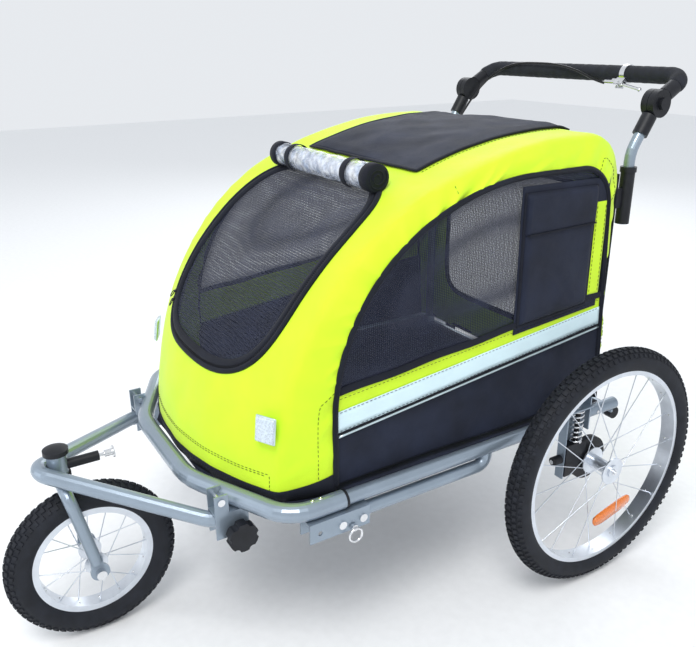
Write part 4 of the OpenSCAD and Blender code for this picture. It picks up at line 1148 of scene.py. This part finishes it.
def make_tyre(name, body, centre, outer, section, node):
    """Casing of a knobbed tyre with its blocks and sidewall rings."""
    centre = np.array(centre)
    core = outer - section - 0.0036
    count, sides = 150, 28
    t = np.arange(sides) * 2 * math.pi / sides
    wall = section + 0.0006 * np.sin(t * 14) * (abs(np.cos(t)) < 0.75)
    x, r = wall * np.sin(t), core + wall * np.cos(t)
    shape = Shape()
    shape.sweep([centre + np.stack([x, r * math.cos(a), r * math.sin(a)], 1)
                 for a in np.arange(count) * 2 * math.pi / count], True)
    pitch = 0.0150
    n = int(round(2 * math.pi * outer / pitch))
    step = 2 * math.pi / n
    skin = section - 0.0004
    for k in range(n):
        a = 2 * math.pi * k / n
        centre_block(shape, centre, core + section - 0.0006, a, 0.0100, 0.0092, 0.0036)
        for side in (1, -1):
            for tilt, shift, length, height in ((26, 0.5, 0.0100, 0.0034), (50, 0, 0.0080, 0.0026)):
                lean = math.radians(tilt) * side
                spot = (skin * math.sin(lean), core + skin * math.cos(lean))
                shoulder_block(shape, centre, outer, spot, lean, a + shift * step, 0.0085, length,
                               height)
    tyre = shape.piece(name, "rubber", body)
    edges = tyre.modifiers.new("edges", "EDGE_SPLIT")
    edges.split_angle = math.radians(50)
    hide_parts(node)


def make_nipples(body, centre, spoke_r, count):
    """Spoke nipples on the inside of a rim."""
    centre = np.array(centre)
    shape = Shape()
    for k in range(count):
        a = 2 * math.pi * k / count
        d = np.array([0.0, math.cos(a), math.sin(a)])
        lean = np.array([0.004 * (1 if k % 2 else -1), 0, 0])
        radii = [0.0017, 0.0021, 0.0026]
        shape.sweep(tube_rings([centre + d * (spoke_r - 0.013) + lean,
                                centre + d * (spoke_r - 0.003) + lean * 0.7,
                                centre + d * spoke_r + lean * 0.5],
                               radii, radii, (1, 0, 0), 8))
    shape.piece(f"{body}_nipples", "steel", body)


def make_orange_reflectors():
    a, b = np.array([0.387, 0.126]), np.array([0.491, 0.151])
    mid, along = (a + b) / 2, unit(b - a)
    up = np.array([-along[1], along[0]])
    for tag, side in SIDES:
        shape = Shape()
        steps = 40
        t = np.arange(steps) * 2 * math.pi / steps
        c, s = np.cos(t), np.sin(t)
        plan = np.stack([0.0535 * np.sign(c) * abs(c) ** 0.45,
                         0.013 * np.sign(s) * abs(s) ** 0.6], 1)
        rings = []
        for x, grow in ((0.3935, 0.95), (0.3945, 1.0), (0.3985, 1.0), (0.3998, 0.94)):
            flat = mid + plan[:, :1] * grow * along + plan[:, 1:] * grow * up
            rings.append(np.stack([np.full(steps, side * x), flat[:, 0], flat[:, 1]], 1))
        shape.sweep(rings)
        shape.piece(f"{tag}_wheel_reflector", "orange_lens", f"{tag}_wheel")
        clips = Shape()
        for u in (-0.040, 0.040):
            p = mid + along * u
            clips.sweep(tube_rings([(side * 0.3895, p[0], p[1]), (side * 0.3940, p[0], p[1])],
                                   0.004, 0.007, (0, 1, 0), 12))
        clips.piece(f"{tag}_reflector_clips", "plastic", f"{tag}_wheel")


def make_front_reflectors():
    for tag, side in SIDES:
        size = np.array([0.018, 0.0036, 0.0215])
        points, faces = rounded_box(-size, size, 0.0034, 3)
        yaw, tilt = math.radians(28 * side), math.radians(-8)
        turn = Matrix.Rotation(yaw, 4, "Z") @ Matrix.Rotation(tilt, 4, "X")
        at = Vector((side * 0.264, -0.2678, 0.471))
        moved = [at + turn @ Vector(p) for p in points]
        piece = Shape().add(moved, faces).piece(f"{tag}_front_reflector", "clear_lens")
        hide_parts("front_reflectors")
        frame_points, faces = rounded_box(-size * (1.08, 0.5, 1.06), size * (1.08, 0.5, 1.06),
                                          0.0016, 2)
        at = at + turn @ Vector((0, 0.0022, 0))
        Shape().add([at + turn @ Vector(p) for p in frame_points], faces).piece(
            f"{tag}_front_reflector_frame", "silver_piping")


# ------------------------------------------------------------------ springs, cable and fittings


def make_springs():
    """Coil springs with closed end turns, flattening towards their upper seat."""
    turns, r, wire = 7.5, 0.0104, 0.0019
    x, y, top = 0.3502, 0.360, 0.3718
    a = np.linspace(0, 2 * math.pi * turns, 260)
    rise = 0.3025 + 0.0670 * np.clip((np.linspace(0, 1, 260) - 0.08) / 0.84, 0, 1)
    for tag, side in SIDES:
        path = np.stack([side * (x + r * np.cos(a)), y + r * np.sin(a), rise], 1)
        coil = Shape().sweep(tube_rings(path, wire, wire, (0, 0, 1), 10)).piece(
            f"{tag}_coil_spring", "steel")
        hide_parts(f"{tag}_spring")
        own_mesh(coil)


def smooth_route(points, steps=6):
    p = np.array(points, float) * MM
    p = np.vstack([2 * p[0] - p[1], p, 2 * p[-1] - p[-2]])
    made = []
    for i in range(1, len(p) - 2):
        for t in np.arange(steps) / steps:
            made.append(0.5 * (2 * p[i] + (p[i + 1] - p[i - 1]) * t
                               + (2 * p[i - 1] - 5 * p[i] + 4 * p[i + 1] - p[i + 2]) * t ** 2
                               + (3 * p[i] - p[i - 1] - 3 * p[i + 1] + p[i + 2]) * t ** 3))
    return np.vstack([made, p[-2]])


UPPER_CABLE = [(96.6, 627, 957), (70, 624, 964), (20, 624, 980), (-40, 627, 990),
               (-100, 629, 992), (-160, 630, 990), (-205, 626, 980), (-235, 612, 960),
               (-248, 592, 937), (-250, 568, 912), (-250, 545, 885), (-250, 522, 855),
               (-250, 504, 825)]
LOWER_CABLE = [(-250, 503.4, 823.6), (-250, 493, 795), (-250, 488, 740), (-251, 486, 660),
               (-254, 486, 560), (-260, 487, 470), (-272, 488, 405), (-290, 486, 362),
               (-306, 484, 330), (-322, 480, 300), (-336, 472, 280), (-343, 462, 269),
               (-344, 453, 264)]


def loose_piece(name, shape, look):
    """A piece without a parent, with its material."""
    mesh = bpy.data.meshes.new(name)
    mesh.from_pydata(shape.points, [], shape.faces)
    mesh.polygons.foreach_set("use_smooth", [True] * len(mesh.polygons))
    mesh.materials.append(LOOKS[look])
    piece = bpy.data.objects.new(name, mesh)
    bpy.context.scene.collection.objects.link(piece)
    return piece


def make_cables():
    """The brake cable in two lengths, each swept along its route."""
    for name, route, start, end, node, between in (
            ("brake_cable_top", UPPER_CABLE, (-0.250, 0.535, 0.872),
             (-0.246, 0.600, 0.948), "brake_cable_upper", ("chassis", "handle")),
            ("brake_cable_bottom", LOWER_CABLE, (-0.290, 0.486, 0.362),
             (-0.336, 0.472, 0.280), "brake_cable_lower", ("chassis", "right_strut"))):
        path = smooth_route(route)
        shape = Shape().sweep(tube_rings(path, 0.0025, 0.0025, (0.3, 1, 0.2), 12))
        piece = loose_piece(name, shape, "cable")
        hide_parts(node)
        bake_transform(piece)


def domed_screw(shape, at, out, r, height):
    """A low domed screw head with a recess, facing out."""
    at, out = np.array(at, float), unit(np.array(out, float))
    side = unit(np.cross(out, (0.31, 0.2, 0.93)))
    path = [at, at + out * height * 0.55, at + out * height * 0.9, at + out * height,
            at + out * height, at + out * height * 0.45]
    radii = [r, r, r * 0.8, r * 0.55, r * 0.34, r * 0.3]
    turn = np.arange(20) * 2 * math.pi / 20
    up = np.cross(out, side)
    rings = [p + rr * (np.cos(turn)[:, None] * side + np.sin(turn)[:, None] * up)
             for p, rr in zip(path, radii)]
    shape.sweep(rings)


def filleted(points, radius, steps=10):
    """A path whose inner corners are rounded to a radius."""
    points = np.array(points, float)
    made = [points[0]]
    for a, b, c in zip(points[:-2], points[1:-1], points[2:]):
        u, v = unit(a - b), unit(c - b)
        half = math.acos(float(np.clip(u @ v, -1, 1))) / 2
        middle = b + unit(u + v) * radius / math.sin(half)
        first, last = b + u * radius / math.tan(half), b + v * radius / math.tan(half)
        for t in np.linspace(0, 1, steps):
            made.append(middle + radius * unit((first - middle) * (1 - t) + (last - middle) * t))
    made.append(points[-1])
    return np.array(made)


def make_foam_grip():
    """Foam sleeve of the handle bar, with rolled ends and a slight waviness."""
    pivot, corner = np.array([0.273, 0.570, 0.930]), np.array([0.273, 0.648, 0.976])
    start = pivot + unit(corner - pivot) * 0.057
    mirror = np.array([-1.0, 1.0, 1.0])
    path = resample(filleted([start * mirror, corner * mirror, corner, start], 0.033, 16), 0.004)
    run = np.linspace(0, 1, len(path))
    r = 0.0166 + 0.0003 * np.sin(run * 160) * np.sin(run * 37)
    ends = np.minimum(run, 1 - run) * len(path)
    r = np.where(ends < 1, 0.0148, np.where(ends < 2, 0.0160, r))
    bar = pivot - corner
    grip = Shape().sweep(tube_rings(path, r, r, (0, bar[2], -bar[1]), 28)).piece(
        "foam_sleeve", "foam", "handle")
    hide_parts("foam_grip")


def make_fittings():
    """Domed rivets on the front tube and the side rails."""
    rivets = Shape()
    for side in (1, -1):
        for y in (-0.190, -0.205):
            domed_screw(rivets, (side * 0.322, y - 0.012, 0.3538), (0, 0, 1), 0.0036, 0.0016)
        for y in (0.372, 0.438):
            domed_screw(rivets, (side * 0.3343, y, 0.338), (side, 0, 0), 0.0034, 0.0018)
    rivets.piece("frame_rivets", "steel")


# ------------------------------------------------------------------ CAD pieces and the floor


def finish_cad_nodes():
    """Every CAD piece that still shows gets its detailed material."""
    for node in bpy.data.objects:
        if "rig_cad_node" not in node or node.type != "MESH" or node.hide_render:
            continue
        plain = node.data.materials[0].name.split(".")[0] if node.data.materials else ""
        look = LOOK_OF_SLOT.get(plain, "steel")
        node.data.materials.clear()
        node.data.materials.append(LOOKS[look])


def make_floor():
    mesh = bpy.data.meshes.new("studio_floor")
    mesh.from_pydata([(-9, -9, 0), (9, -9, 0), (9, 9, 0), (-9, 9, 0)], [], [(0, 1, 2, 3)])
    mesh.materials.append(LOOKS["floor"])
    floor = bpy.data.objects.new("studio_floor", mesh)
    floor.location.z = -0.0005
    bpy.context.scene.collection.objects.link(floor)


# ------------------------------------------------------------------ everything together

make_camera()
make_lights()

cover = make_cover()
front_net = make_front_window()
make_cover_stitches()
hem = make_hem()
side_sheets = [make_side(tag, side) for tag, side in SIDES]
rear_door, rear_net = make_rear_door()
roof_sheet = make_roof_panel()
make_rolled_cover()
pocket_sheets = make_pocket()
floor_cloth = make_floor_cloth()

make_tyre("front_tread", "front_wheel", FRONT_CENTRE, FRONT_R, 0.024, "front_tyre")
for tag, side in SIDES:
    rear_centre = (side * REAR_WHEEL_X, *REAR_AXLE)
    make_tyre(f"{tag}_tread", f"{tag}_wheel", rear_centre, REAR_R, 0.023, f"{tag}_tyre")
    make_nipples(f"{tag}_wheel", rear_centre, 0.210, 20)
make_nipples("front_wheel", FRONT_CENTRE, 0.109, 16)
make_orange_reflectors()
make_front_reflectors()
make_springs()
make_cables()
make_foam_grip()
make_fittings()
finish_cad_nodes()
make_floor()
